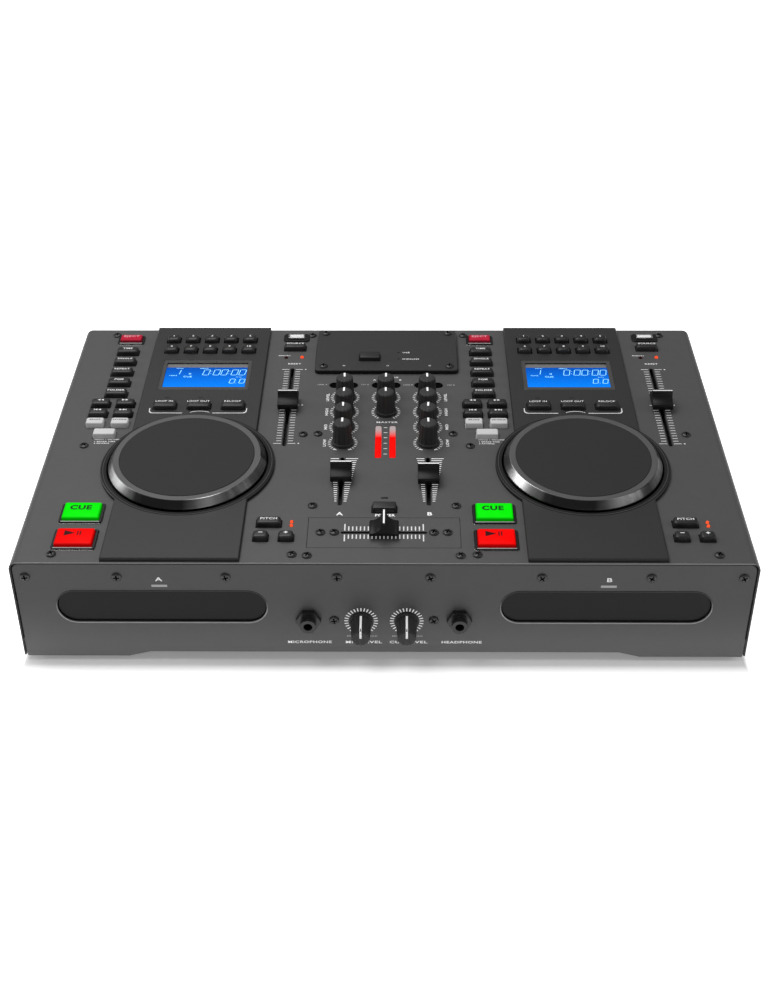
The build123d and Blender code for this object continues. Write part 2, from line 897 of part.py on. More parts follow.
def make_cover_keypad(deck_x):
    root = -web_top - web_thickness / 2
    side_front = light_low_y - key_depth / 2 - 1.5
    side_rear = function_rows[0] + key_depth / 2 + 1.5
    with BuildPart() as keypad:
        for places, width in cover_keys(deck_x):
            key_caps(places, width, cover_key_top, root)
        keypad_web(
            under(web_top),
            [(deck_x + side_u, (side_front + side_rear) / 2)],
            search_spread + search_width - 1.0,
            side_rear - side_front,
            deck_x,
        )
        pitch_web_left = pitch_key_u - pitch_key_width / 2 + 1.0
        pitch_web_right = deck_leds[2][0] - led_radius - 1.0
        keypad_web(
            under(web_top),
            [(deck_x + (pitch_web_left + pitch_web_right) / 2, (pitch_key_y + bend_key_y) / 2)],
            pitch_web_right - pitch_web_left,
            pitch_key_y - bend_key_y + key_depth,
        )
        keypad_web(
            under(web_top),
            [(deck_x + source_u, source_y)],
            source_width + 2.0,
            key_depth + 2.0,
        )
    return keypad


def make_deck_keypad(deck_x):
    lid = pocket_roof - web_gap
    with BuildPart() as keypad:
        key_caps(hot_keys(deck_x), hot_width, deck_key_top, lid - web_thickness / 2)
        key_caps(loop_keys(deck_x), loop_width, deck_key_top, lid - web_thickness / 2)
        with BuildSketch(top_plane.offset(lid)):
            with Locations((deck_x, sum(display_opening) / 2)):
                Rectangle(
                    opening_width - 13.0, display_opening[1] - display_opening[0] - 4.0
                )
            with Locations((deck_x, display_y)):
                Rectangle(display_width + 2.0, display_depth + 2.0, mode=Mode.SUBTRACT)
        extrude(amount=-web_thickness)
    return keypad


for deck, deck_x in decks.items():
    write(make_cover_keypad(deck_x), f"cover_keypad_{deck}")
    write(make_deck_keypad(deck_x), f"deck_keypad_{deck}")

mixer_switch_top = 6.6  # the tall key switches on the mixer board end here, below the cover
with BuildPart() as mixer_keys:
    root = -web_top - web_thickness
    key_caps([(0, mixer_key_y)], mixer_key_width, cover_key_top, root)
    keypad_web(under(web_top), [(0, mixer_key_y)], mixer_key_width + 2.0, key_depth + 2.0)
    posts(
        under(mixer_switch_top - key_travel - fit),
        [(0, mixer_key_y)],
        2.0,
        mixer_switch_top - key_travel - fit - web_top - web_thickness,
    )
    # the key of the plate at the rear stands a little higher
    plate_top = module_height + module_key_stand
    rounded_block(
        under(web_top),
        [(module_key_x, module_key_y)],
        module_key_width,
        module_key_depth,
        plate_top - 0.7 + web_top,
        0.8,
    )
    rounded_block(
        top_plane.offset(plate_top - 0.7),
        [(module_key_x, module_key_y)],
        module_key_width,
        module_key_depth,
        0.7,
        0.8,
        taper=42,
    )
write(mixer_keys, "mixer_keys")


# ---------------------------------------------------------------- lit keys and frames
def make_lit_key(place, width, depth, top):
    bevel = 0.6
    with BuildPart() as lit_key:
        root = -sheet
        rounded_block(top_plane.offset(root), [place], width, depth, top - bevel - root, 1.0)
        rounded_block(
            top_plane.offset(top - bevel), [place], width, depth, bevel, 1.0, taper=42
        )
        # plunger down to the switch on the board
        posts(
            under(key_board_drop - key_travel - fit),
            [place],
            2.5,
            key_board_drop - key_travel - fit - sheet,
        )
    return lit_key


for deck, deck_x in decks.items():
    for name, (place, width, depth, top, rim) in framed_keys(deck_x).items():
        write(make_lit_key(place, width, depth, top), f"{name}_key_{deck}")

with BuildPart() as panel_frames:
    for deck_x in decks.values():
        for place, width, depth, _, rim in framed_keys(deck_x).values():
            with BuildSketch(top_plane) as frame_outline:
                with Locations(place):
                    Rectangle(width + 2 * rim, depth + 2 * rim)
                chamfer(frame_outline.vertices(), 1.0)
            extrude(amount=frame_height)
            with BuildSketch(under(sheet)):
                with Locations(place):
                    Rectangle(width + rim - 0.2, depth + rim - 0.2)
            extrude(amount=sheet)
            cut_block(
                top_plane.offset(frame_height),
                [place],
                width + 2 * fit,
                depth + 2 * fit,
                frame_height + sheet,
            )
        with BuildSketch(top_plane) as usb_outline:
            with Locations((deck_x + usb_u, usb_y)):
                Rectangle(usb_frame_width, usb_frame_depth)
            chamfer(usb_outline.vertices(), 2.0)
        extrude(amount=frame_height)
        cut_block(
            top_plane.offset(frame_height),
            [(deck_x + usb_u, usb_y)],
            usb_width + 2 * usb_shell + 0.2,
            usb_depth + 2 * usb_shell + 0.2,
            frame_height,
        )
write(panel_frames, "panel_frames")

# ---------------------------------------------------------------- sockets for memory sticks
with BuildPart() as usb_sockets:
    usb_places = [(deck_x + usb_u, usb_y) for deck_x in decks.values()]
    rounded_block(
        top_plane.offset(usb_mouth - usb_length),
        usb_places,
        usb_width + 2 * usb_shell,
        usb_depth + 2 * usb_shell,
        usb_length,
    )
    cut_block(top_plane.offset(usb_mouth), usb_places, usb_width, usb_depth, usb_inside)
    # contact tongue along the rear wall
    rounded_block(
        top_plane.offset(usb_mouth - usb_inside),
        [(x, y + (usb_depth - usb_tongue) / 2 - 0.4) for x, y in usb_places],
        usb_tongue_width,
        usb_tongue,
        usb_inside - 1.2,
    )
write(usb_sockets, "usb_sockets")

# ---------------------------------------------------------------- lamps
with BuildPart() as lamps:
    rounded_block(
        under(mixer_board_drop), meter_places, meter_width, meter_length, mixer_board_drop + 0.2
    )
    rounded_block(under(mixer_board_drop), [(0, mixer_led_y)], 5.0, 1.6, mixer_board_drop + 0.2)
    posts(under(key_board_drop), deck_led_places(), led_radius, key_board_drop + 0.6)
write(lamps, "lamps")

# ---------------------------------------------------------------- plates on the mixer
with BuildPart() as module_plate:
    with BuildSketch(top_plane) as plate_outline:
        with Locations((0, module_y)):
            RectangleRounded(module_width, module_depth, module_corner)
    extrude(amount=module_height)
    plate_face = module_plate.faces().sort_by(Axis((0, 0, 0), top_plane.z_dir))[-1]
    chamfer(plate_face.edges(), 0.8)
    cut_block(
        top_plane.offset(module_height - sheet - 0.3),
        [(0, module_y)],
        module_width - module_seat_x - 2.0,
        module_depth - module_seat_y - 2.0,
        module_height,
    )
    cut_block(
        top_plane.offset(module_height),
        [(module_key_x, module_key_y)],
        module_key_width + 2 * fit,
        module_key_depth + 2 * fit,
        module_height,
    )
    holes(top_plane.offset(module_height), module_screws, screw_hole, module_height)
write(module_plate, "module_plate")

with BuildPart() as crossfader_plate:
    rounded_block(under(sheet), [(0, cross_y)], cross_plate_width, cross_plate_depth, sheet)
    with BuildSketch(top_plane):
        with Locations((0, cross_y)):
            SlotOverall(cross_slot, cross_slot_width)
    extrude(amount=-sheet, mode=Mode.SUBTRACT)
    holes(top_plane, cross_screws, screw_hole, sheet)
write(crossfader_plate, "crossfader_plate")


# ---------------------------------------------------------------- fader caps
def make_fader_cap(place, along_x=False):
    # scooped on both sides of a narrow ridge, on a flat metal stem
    origin = top_plane.from_local_coords((place[0], place[1], 0))
    travel = top_plane.x_dir if along_x else cross_plane.z_dir
    across = top_plane.z_dir.cross(travel)
    side_plane = Plane(origin=origin, x_dir=travel, z_dir=-across)
    half = cap_length / 2
    with BuildPart() as fader_cap:
        with BuildSketch(side_plane):
            with BuildLine():
                Polyline(
                    (-cap_ridge / 2, cap_top),
                    (cap_ridge / 2, cap_top),
                    (cap_ridge / 2 + 0.5, cap_top - 1.6),
                )
                ThreePointArc(
                    (cap_ridge / 2 + 0.5, cap_top - 1.6),
                    (half * 0.42, cap_foot + cap_lip + 1.6),
                    (half - 1.0, cap_foot + cap_lip),
                )
                Polyline(
                    (half - 1.0, cap_foot + cap_lip),
                    (half, cap_foot + cap_lip - 1.2),
                    (half, cap_foot),
                    (-half, cap_foot),
                    (-half, cap_foot + cap_lip - 1.2),
                    (-half + 1.0, cap_foot + cap_lip),
                )
                ThreePointArc(
                    (-half + 1.0, cap_foot + cap_lip),
                    (-half * 0.42, cap_foot + cap_lip + 1.6),
                    (-cap_ridge / 2 - 0.5, cap_top - 1.6),
                )
                Line((-cap_ridge / 2 - 0.5, cap_top - 1.6), (-cap_ridge / 2, cap_top))
            make_face()
        extrude(amount=cap_width / 2, both=True)
        with BuildSketch(side_plane):
            with Locations((0, cap_foot)):
                Rectangle(
                    stem_length,
                    cap_foot + sheet + fader_groove_depth - fit,
                    align=(Align.CENTER, Align.MAX),
                )
        extrude(amount=stem_thickness / 2, both=True)
    return fader_cap


for deck, deck_x in decks.items():
    write(make_fader_cap((deck_x + pitch_u, pitch_y)), f"pitch_fader_{deck}")
    write(make_fader_cap(channel_places[deck]), f"channel_fader_{deck}")
write(make_fader_cap((0, cross_y), along_x=True), "crossfader")


# ---------------------------------------------------------------- knobs
def grip_outline(place, radius):
    # ribbed round: every other corner lies a rib's depth further in
    inner = radius * (1 - knob_rib / knob_foot_radius)
    with BuildLine() as edge:
        Polyline(
            *[
                (
                    place[0] + (inner if step % 2 else radius) * cos(step * pi / knob_ribs),
                    place[1] + (inner if step % 2 else radius) * sin(step * pi / knob_ribs),
                )
                for step in range(2 * knob_ribs)
            ],
            close=True,
        )
    make_face(edge.edges())


def make_knob(base_plane, place):
    # skirt, ribbed tapered grip and the shaft that it is pressed on
    grip_foot = knob_stand + knob_skirt_height
    with BuildPart() as knob:
        with BuildSketch(base_plane.offset(grip_foot)):
            grip_outline(place, knob_foot_radius)
        with BuildSketch(base_plane.offset(knob_stand + knob_height)):
            grip_outline(place, knob_tip_radius)
        loft(ruled=True)
        posts(base_plane.offset(knob_stand), [place], knob_skirt_radius, knob_skirt_height)
        posts(base_plane.offset(knob_stand), [place], knob_turn_radius, -knob_shaft)
    return knob


for name, place in knob_places.items():
    write(make_knob(top_plane, place), name)
front_knobs = {"mic_knob": -front_knob_x, "cue_knob": front_knob_x}
for name, x in front_knobs.items():
    write(make_knob(front_face, (x, front_knob_z)), name)

# ---------------------------------------------------------------- source selectors
for name, place in selector_places.items():
    with BuildPart() as selector:
        rounded_block(
            under(sheet),
            [place],
            stem_length,
            stem_thickness * 2,
            -fader_groove_depth + 1.4,
        )
        rounded_block(
            under(sheet),
            [place],
            selector_width,
            selector_depth,
            sheet + selector_top - 1.0,
            0.8,
        )
        rounded_block(
            top_plane.offset(selector_top - 1.0),
            [place],
            selector_width,
            selector_depth,
            1.0,
            0.8,
            taper=35,
        )
    write(selector, name)


# ---------------------------------------------------------------- mixer board
def fader_body(place, length, along_x=False):
    # long slider body screwed up against the sheet, with its groove
    turn = 0 if along_x else 90
    with BuildSketch(under(sheet)) as body:
        with Locations(place):
            Rectangle(length, fader_body_width, rotation=turn)
    extrude(body.sketch, amount=sheet - mixer_board_drop)
    with BuildSketch(under(sheet)) as groove:
        with Locations(place):
            Rectangle(length - 8.0, fader_groove, rotation=turn)
    extrude(groove.sketch, amount=-fader_groove_depth, mode=Mode.SUBTRACT)


with BuildPart() as mixer_board:
    board_front = 10.0
    board_rear = 244.0
    with BuildSketch(under(mixer_board_drop)):
        with Locations((0, (board_front + board_rear) / 2)):
            Rectangle(module_width + 3.4, board_rear - board_front)
    extrude(amount=-board)
    pot_drop = mixer_board_drop - pot_top
    rounded_block(
        under(mixer_board_drop), list(knob_places.values()), pot_width, pot_width, pot_drop
    )
    holes(
        under(pot_top),
        list(knob_places.values()),
        knob_turn_radius + running,
        knob_shaft - knob_stand - pot_top + 0.4,
    )
    for side in (-1, 1):
        fader_body((side * channel_x, channel_y), channel_slot + 14.0)
    fader_body((0, cross_y), cross_slot + 10.0, along_x=True)
    rounded_block(
        under(mixer_board_drop),
        list(selector_places.values()),
        selector_slot + 4.0,
        selector_slot_width + 2.0,
        mixer_board_drop - sheet - fit,
    )
    cut_block(
        under(sheet + fit),
        list(selector_places.values()),
        2 * selector_travel + stem_length + 2 * fit,
        stem_thickness * 2 + 2 * fit,
        fader_groove_depth,
    )
    rounded_block(
        under(mixer_board_drop),
        [(0, mixer_key_y)],
        6.2,
        6.2,
        mixer_board_drop - mixer_switch_top,
    )
write(mixer_board, "mixer_board")

# ---------------------------------------------------------------- deck boards
with BuildPart() as deck_boards:
    for deck_x in decks.values():
        with BuildSketch(under(key_board_drop)):
            board_round(spread(side_studs, deck_x))
            board_round(spread(start_studs, deck_x))
            board_round(spread(pitch_studs, deck_x))
            board_round(spread(source_studs, deck_x) + [(deck_x + u, y) for u, y in top_leds])
            with Locations((deck_x, well_y)):
                Circle(well_radius + well_wall + 1.0, mode=Mode.SUBTRACT)
        extrude(amount=-board)
        cut_block(
            under(key_board_drop),
            [(deck_x + usb_u, usb_y)],
            usb_width + 2 * (usb_shell + fit),
            usb_depth + 2 * (usb_shell + fit),
            board,
        )
        with BuildSketch(under(display_board_drop)):
            with Locations((deck_x, sum(display_opening) / 2)):
                Rectangle(
                    opening_width - 3.0, display_opening[1] - display_opening[0] - 3.0
                )
        extrude(amount=-board)
        fader_body((deck_x + pitch_u, pitch_y), pitch_slot + 14.0)
write(deck_boards, "deck_boards")


# ---------------------------------------------------------------- disc trays
def make_disc_tray(x):
    tray_back = front_y + panel_inset + tray_recess
    tray_bottom = foot_drop + tray_z - tray_thickness / 2
    disc_y = tray_back + tray_face + 4.0 + disc_radius
    with BuildPart() as disc_tray:
        with BuildSketch(Plane.XY.offset(tray_bottom)):
            with Locations((x, tray_back + tray_face / 2)):
                Rectangle(tray_width, tray_length, align=(Align.CENTER, Align.MIN))
        extrude(amount=tray_thickness)
        top = Plane.XY.offset(tray_bottom + tray_thickness)
        holes(top, [(x, disc_y)], disc_radius, disc_step)
        holes(top, [(x, disc_y)], small_disc_radius, 2 * disc_step)
        # opening for the turntable and the lens
        with BuildSketch(top):
            with Locations((x, disc_y + 8.0)):
                SlotOverall(50.0, 36.0, rotation=90)
        extrude(amount=-tray_thickness, mode=Mode.SUBTRACT)
        # channel under one edge that the loading gear runs in
        channel_length = tray_travel + 2 * channel_end
        cut_block(
            Plane.XY.offset(tray_bottom + 3.0),
            [(x + tray_width / 2 - 9.0, tray_back + tray_length - channel_length / 2)],
            9.0,
            channel_length,
            3.0,
        )
        # the front bar fills the slot in the front panel
        with BuildSketch(front_face.offset(-tray_recess)):
            with Locations((x, tray_z)):
                RectangleRounded(
                    tray_slot_width - 2 * tray_face_gap,
                    tray_slot_height - 2 * tray_face_gap,
                    tray_slot_corner - tray_face_gap,
                )
        extrude(amount=-tray_face)
    return disc_tray


for deck, side in (("a", -1), ("b", 1)):
    write(make_disc_tray(side * tray_x), f"disc_tray_{deck}")


def make_disc_drive(x):
    # bed under the tray, a guide rail on either side and a bridge with the disc clamp
    tray_bottom = foot_drop + tray_z - tray_thickness / 2
    tray_top = tray_bottom + tray_thickness
    drive_front = front_y + panel_inset + tray_recess + tray_face + 3.0
    drive_outer = tray_width + 2 * drive_wall + 2 * fit
    bed_top = tray_bottom - fit
    bed_height = 22.0
    with BuildPart() as disc_drive:
        with BuildSketch(Plane.XY.offset(bed_top)):
            with Locations((x, drive_front)):
                Rectangle(drive_outer, drive_depth, align=(Align.CENTER, Align.MIN))
        extrude(amount=-bed_height)
        with BuildSketch(Plane.XY.offset(bed_top)):
            rail_x = (drive_outer - drive_wall) / 2
            with Locations((x - rail_x, drive_front), (x + rail_x, drive_front)):
                Rectangle(drive_wall, drive_depth, align=(Align.CENTER, Align.MIN))
        extrude(amount=tray_top + fit - bed_top)
        with BuildSketch(Plane.XY.offset(tray_top + fit)):
            with Locations((x, drive_front + 52.0)):
                Rectangle(drive_outer, 36.0, align=(Align.CENTER, Align.MIN))
        extrude(amount=3.0)
        posts(Plane.XY.offset(tray_top + fit + 3.0), [(x, drive_front + 70.0)], 15.0, 3.0)
        # legs down to the pressed-down and the raised part of the floor
        for leg_x in (x - drive_outer / 2 + 8.0, x + drive_outer / 2 - 8.0):
            raised = 0.0 if abs(leg_x) > step_outer else step_height
            foot_z = foot_drop + sheet + raised
            posts(
                Plane.XY.offset(foot_z),
                [(leg_x, drive_front + along) for along in (10.0, drive_depth - 10.0)],
                4.0,
                bed_top - bed_height - foot_z,
            )
    return disc_drive


for deck, side in (("a", -1), ("b", 1)):
    write(make_disc_drive(side * tray_x), f"disc_drive_{deck}")

# ---------------------------------------------------------------- mains supply
with BuildPart() as power_supply:
    supply_y = front_y + 218.0
    supply_z = base_top + 6.0
    with BuildSketch(Plane.XY.offset(supply_z)):
        with Locations((0, supply_y)):
            Rectangle(126.0, 84.0)
    extrude(amount=board)
    parts_plane = Plane.XY.offset(supply_z + board)
    posts(
        Plane.XY.offset(base_top),
        [(x, supply_y + y) for x in (-59.0, 59.0) for y in (-38.0, 38.0)],
        3.0,
        6.0,
    )
    rounded_block(parts_plane, [(-22.0, supply_y)], 34.0, 40.0, 28.0)
    rounded_block(parts_plane, [(-22.0, supply_y)], 42.0, 22.0, 34.0)
    posts(parts_plane, [(34.0, supply_y - 22.0), (34.0, supply_y + 2.0)], 9.0, 26.0)
    rounded_block(parts_plane, [(20.0, supply_y + 32.0)], 60.0, 3.0, 24.0)
write(power_supply, "power_supply")

# ---------------------------------------------------------------- front sockets
with BuildPart() as front_jacks:
    jack_places = [(-jack_x, jack_z), (jack_x, jack_z)]
    pot_places = [(-front_knob_x, front_knob_z), (front_knob_x, front_knob_z)]
    behind = front_face.offset(-sheet)
    # board behind the panel, which carries both sockets and both controls
    with BuildSketch(behind.offset(-jack_depth)):
        with Locations((0, jack_z)):
            Rectangle(2 * jack_x + 35.0, 34.0)
    extrude(amount=-board)
    rounded_block(behind, jack_places, 17.0, 19.0, -jack_depth)
    rounded_block(behind.offset(-1.0), pot_places, pot_width, pot_width, 1.0 - jack_depth)
    holes(behind.offset(-1.0), pot_places, knob_turn_radius + running, knob_shaft - 1.0)
    posts(behind, jack_places, jack_nose_radius, sheet + jack_nose)
    with BuildSketch(front_face):
        with Locations(*jack_places):
            RegularPolygon(jack_nut_radius, 6)
    extrude(amount=jack_nut)
    holes(front_face.offset(jack_nose), jack_places, jack_bore, jack_nose + sheet + jack_depth - 3)
write(front_jacks, "front_jacks")

# ---------------------------------------------------------------- rear sockets
with BuildPart() as rear_sockets:
    plate = 2.0
    for x in socket_blocks:
        places = [
            (-x + side * socket_pitch_x / 2, socket_z + level * socket_pitch_z / 2)
            for side in (-1, 1)
            for level in (-1, 1)
        ]
        rounded_block(
            rear_face, [(-x, socket_z)], socket_plate_width, socket_plate_height, plate, 1.5
        )
        rounded_block(
            rear_face,
            [(-x, socket_z)],
            socket_plate_width - 6.0,
            socket_plate_height - 6.0,
            -14.0,
        )
        posts(rear_face.offset(plate), places, socket_radius, socket_length)
        holes(rear_face.offset(plate + socket_length), places, socket_bore, socket_length)
write(rear_sockets, "rear_sockets")

# ---------------------------------------------------------------- mains inlet and switch
with BuildPart() as mains_inlet:
    flange = 2.0
    inlet_places = [(-inlet_x, inlet_z)]
    switch_places = [(-switch_x, inlet_z)]
    flange_width = inlet_x - switch_x + (inlet_width + switch_width) / 2 + 2 * inlet_border
    middle = (inlet_x + inlet_width / 2 + switch_x - switch_width / 2) / 2
    rounded_block(rear_face, [(-middle, inlet_z)], flange_width, 29.0, flange, 3.0)
    rounded_block(rear_face, inlet_places, inlet_width, inlet_height, -inlet_depth)
    rounded_block(rear_face, switch_places, switch_width, switch_height, -inlet_depth)
    cut_block(
        rear_face.offset(flange),
        inlet_places,
        inlet_mouth_width,
        inlet_mouth_height,
        inlet_mouth_depth,
    )
    cut_block(
        rear_face.offset(flange), switch_places, switch_width - 2.4, switch_height - 2.4, 12.0
    )
    for pin_x, pin_z in ((-7.0, -2.0), (7.0, -2.0), (0.0, 2.0)):
        rounded_block(
            rear_face.offset(flange - inlet_mouth_depth),
            [(-inlet_x + pin_x, inlet_z + pin_z)],
            2.0,
            4.0,
            inlet_mouth_depth - 3.0,
        )
write(mains_inlet, "mains_inlet")

rocker_pivot_depth = 5.0
rocker_axis_point = rear_face.offset(2.0 - rocker_pivot_depth).from_local_coords(
    (-switch_x, inlet_z, 0)
)
with BuildPart() as power_rocker:
    # shallow V on a cross pin, standing with its lower half pressed in
    lean = radians(rocker_angle)
    rocker_plane = Plane(
        origin=rocker_axis_point, x_dir=(0, sin(lean), cos(lean)), z_dir=(-1, 0, 0)
    )
    half = switch_height / 2 - 2.6
    with BuildSketch(rocker_plane):
        with BuildLine():
            Polyline(
                (-half, 1.5),
                (-half, rocker_pivot_depth + 2.6),
                (0, rocker_pivot_depth - 0.2),
                (half, rocker_pivot_depth + 2.6),
                (half, 1.5),
                (3.0, -3.0),
                (-3.0, -3.0),
                close=True,
            )
        make_face()
    extrude(amount=(switch_width - 2.4) / 2 - fit, both=True)
write(power_rocker, "power_rocker")

print("jog centre a", top_plane.from_local_coords((decks["a"], well_y, 0)))
print("front_y", front_y, "rear_y", rear_y, "top_z", top_z)
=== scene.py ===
from math import cos, pi, radians, sin, tan

import bmesh
import bpy
from mathutils import Matrix, Vector


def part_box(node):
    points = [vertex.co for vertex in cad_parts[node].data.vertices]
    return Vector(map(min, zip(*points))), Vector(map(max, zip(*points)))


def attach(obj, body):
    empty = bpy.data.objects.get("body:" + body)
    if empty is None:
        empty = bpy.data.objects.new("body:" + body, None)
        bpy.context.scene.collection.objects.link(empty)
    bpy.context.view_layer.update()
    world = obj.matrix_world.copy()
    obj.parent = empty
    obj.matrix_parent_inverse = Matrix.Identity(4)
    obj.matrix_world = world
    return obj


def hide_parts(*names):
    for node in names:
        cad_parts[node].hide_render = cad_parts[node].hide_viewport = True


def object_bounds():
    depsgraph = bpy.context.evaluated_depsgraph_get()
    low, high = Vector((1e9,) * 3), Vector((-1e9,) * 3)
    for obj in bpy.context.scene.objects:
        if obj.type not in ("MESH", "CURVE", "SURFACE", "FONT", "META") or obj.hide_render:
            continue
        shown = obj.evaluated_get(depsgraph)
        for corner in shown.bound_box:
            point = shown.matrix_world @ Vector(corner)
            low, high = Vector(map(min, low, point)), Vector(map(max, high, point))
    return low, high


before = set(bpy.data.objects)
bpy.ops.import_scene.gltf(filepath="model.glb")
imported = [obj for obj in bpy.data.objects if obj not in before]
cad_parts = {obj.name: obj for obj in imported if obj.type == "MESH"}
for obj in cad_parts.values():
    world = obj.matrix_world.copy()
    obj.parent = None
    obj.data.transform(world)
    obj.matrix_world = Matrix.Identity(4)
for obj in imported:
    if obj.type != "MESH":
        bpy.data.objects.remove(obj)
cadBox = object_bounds()
scene = bpy.context.scene
print("frame loaded,", len(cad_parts), "nodes")

# Sizes are in millimetres. topPlace maps (x, up the slope, off the surface) to the room,
# frontPlace and rearPlace do the same for the two panels with (x, up, outwards).
coverLow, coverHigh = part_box("top_cover")
ringLow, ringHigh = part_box("jog_ring_a")
slope = radians(2.0)
footDrop = 0.004
panelInset = 0.0008
frontEdge = coverHigh.z - (coverHigh.y - coverLow.y) * tan(slope)
deckX = {"a": (ringLow.x + ringHigh.x) * 500, "b": -(ringLow.x + ringHigh.x) * 500}
toMetres = Matrix.Scale(0.001, 4)
here = Matrix.Identity(4)
upright = Matrix.Rotation(pi / 2, 4, "X") @ toMetres
topPlace = (Matrix.Translation((0, coverLow.y, frontEdge))
            @ Matrix.Rotation(slope, 4, "X") @ toMetres)
frontPlace = Matrix.Translation((0, coverLow.y + panelInset, footDrop)) @ upright
rearPlace = (Matrix.Translation((0, coverHigh.y - panelInset, footDrop))
             @ Matrix.Rotation(pi, 4, "Z") @ upright)


class Wire:
    # one socket of a node tree, so that sums on it read as sums
    def __init__(self, graph, socket):
        self.graph = graph
        self.socket = socket

    def maths(self, operation, *terms):
        return self.graph.node("ShaderNodeMath", {"operation": operation}, dict(enumerate(terms)))

    def other(self, name):
        return Wire(self.graph, self.socket.node.outputs[name])

    def __add__(self, term):
        return self.maths("ADD", self, term)

    def __sub__(self, term):
        return self.maths("SUBTRACT", self, term)

    def __rsub__(self, term):
        return self.maths("SUBTRACT", term, self)

    def __mul__(self, term):
        return self.maths("MULTIPLY", self, term)

    def __truediv__(self, term):
        return self.maths("DIVIDE", self, term)

    def __pow__(self, term):
        return self.maths("POWER", self, term)

    def __gt__(self, term):
        return self.maths("GREATER_THAN", self, term)

    def __lt__(self, term):
        return self.maths("LESS_THAN", self, term)

    def clamp(self):
        return self.maths("MINIMUM", self.maths("MAXIMUM", self, 0.0), 1.0)

    __radd__ = __add__
    __rmul__ = __mul__


class Graph:
    def node(self, kind, settings=None, inputs=None, output=0):
        made = self.tree.nodes.new(kind)
        for key, value in (settings or {}).items():
            setattr(made, key, value)
        for key, value in (inputs or {}).items():
            if isinstance(value, Wire):
                self.tree.links.new(value.socket, made.inputs[key])
            else:
                made.inputs[key].default_value = value
        return Wire(self, made.outputs[output]) if made.outputs else None


def shade(red, green=None, blue=None):
    # screen colour, 0 to 255, to the linear one that shaders take
    screen = (red, red, red) if green is None else (red, green, blue)
    linear = [c / 255 / 12.92 if c / 255 <= 0.04045 else ((c / 255 + 0.055) / 1.055) ** 2.4
              for c in screen]
    return (*linear, 1.0)


class Paint(Graph):
    def __init__(self, name):
        self.material = bpy.data.materials.new(name)
        self.material.use_nodes = True
        self.tree = self.material.node_tree
        self.tree.nodes.clear()
        self.coords = self.node("ShaderNodeTexCoord", output="Object")

    def grain(self, scale, detail=2.0, squeeze=None):
        coords = self.coords
        if squeeze:
            coords = self.node("ShaderNodeMapping", {}, {"Vector": coords, "Scale": squeeze})
        return self.node("ShaderNodeTexNoise", {},
                         {"Vector": coords, "Scale": scale, "Detail": detail})

    def axes(self):
        x = self.node("ShaderNodeSeparateXYZ", {}, {0: self.coords})
        return x, x.other("Y"), x.other("Z")

    def onDeck(self):
        # millimetres across from the middle of either deck, and up the slope
        x, y, z = self.axes()
        across = x.maths("WRAP", x * 1000, 2 * deckX["b"], 0.0) - deckX["b"]
        return across, (y - coverLow.y) * (1000 / cos(slope))

    def height(self):
        # millimetres above the cover's sloping face
        x, y, z = self.axes()
        return (z - frontEdge - (y - coverLow.y) * tan(slope)) * (1000 * cos(slope))

    def blend(self, factor, first, second):
        return self.node("ShaderNodeMix", {"data_type": "RGBA"},
                         {0: factor, 6: first, 7: second}, 2)

    def bump(self, height, distance, strength=1.0, normal=None):
        inputs = {"Height": height, "Distance": distance, "Strength": strength}
        if normal:
            inputs["Normal"] = normal
        return self.node("ShaderNodeBump", {}, inputs)

    def soften(self, radius):
        # rounds sharp edges in the light
        return self.node("ShaderNodeBevel", {"samples": 4}, {"Radius": radius})

    def finish(self, sockets):
        shader = self.node("ShaderNodeBsdfPrincipled", {}, sockets)
        self.node("ShaderNodeOutputMaterial", {}, {"Surface": shader})
        return self.material


def makePowderCoat(name, level, edgeHighlight=0, foot=0):
    paint = Paint(name)
    fine, coarse = paint.grain(2600, 1.0), paint.grain(90, 3.0)
    x, y, z = paint.axes()
    colour = paint.blend(fine, shade(level - 13), shade(level + 11))
    colour = paint.blend(coarse * 0.16, colour, shade(level + 22))
    if foot:
        # painted light bounced from the floor: lighter towards the floor
        low = (1 - (z - footDrop) / 0.06).clamp()
        colour = paint.blend(low * low, colour, shade(foot))
    if edgeHighlight:
        # the sheet's cut front edge: a painted highlight along the top and the painted shadow of
        # the gap under it
        edge = y < coverLow.y + 0.0002
        upper = paint.height() > -0.65
        colour = paint.blend(edge * 0.85, colour, paint.blend(upper, shade(22), shade(edgeHighlight)))
    return paint.finish({
        "Base Color": colour,
        "Roughness": fine * 0.14 + 0.42,
        "Normal": paint.bump(fine, 0.00006, 0.5, paint.soften(0.0004)),
        "Specular IOR Level": 0.42,
    })


def makePlastic(name, level, rough=0.46, grainScale=3200, depth=0.00003, edge=0.0003, tint=None,
                shine=0.5):
    paint = Paint(name)
    fine, coarse = paint.grain(grainScale, 1.5), paint.grain(55, 2.0)
    low = tint[0] if tint else shade(level - 4)
    high = tint[1] if tint else shade(level + 5)
    colour = paint.blend(fine * 0.7 + coarse * 0.3, low, high)
    return paint.finish({
        "Base Color": colour,
        "Roughness": coarse * 0.08 + (rough - 0.04),
        "Specular IOR Level": shine,
        "Normal": paint.bump(fine, depth, 0.4, paint.soften(edge)),
    })


def makeMetal(name, level, rough=0.3, squeeze=(1, 1, 1), scale=2500, edge=0.0002, metallic=1.0):
    paint = Paint(name)
    lines = paint.grain(scale, 2.0, squeeze)
    return paint.finish({
        "Base Color": paint.blend(lines, shade(level - 26), shade(level + 18)),
        "Metallic": metallic,
        "Roughness": lines * 0.12 + (rough - 0.06),
        "Normal": paint.bump(lines, 0.00001, 0.4, paint.soften(edge)),
    })


keyRim = 1.5


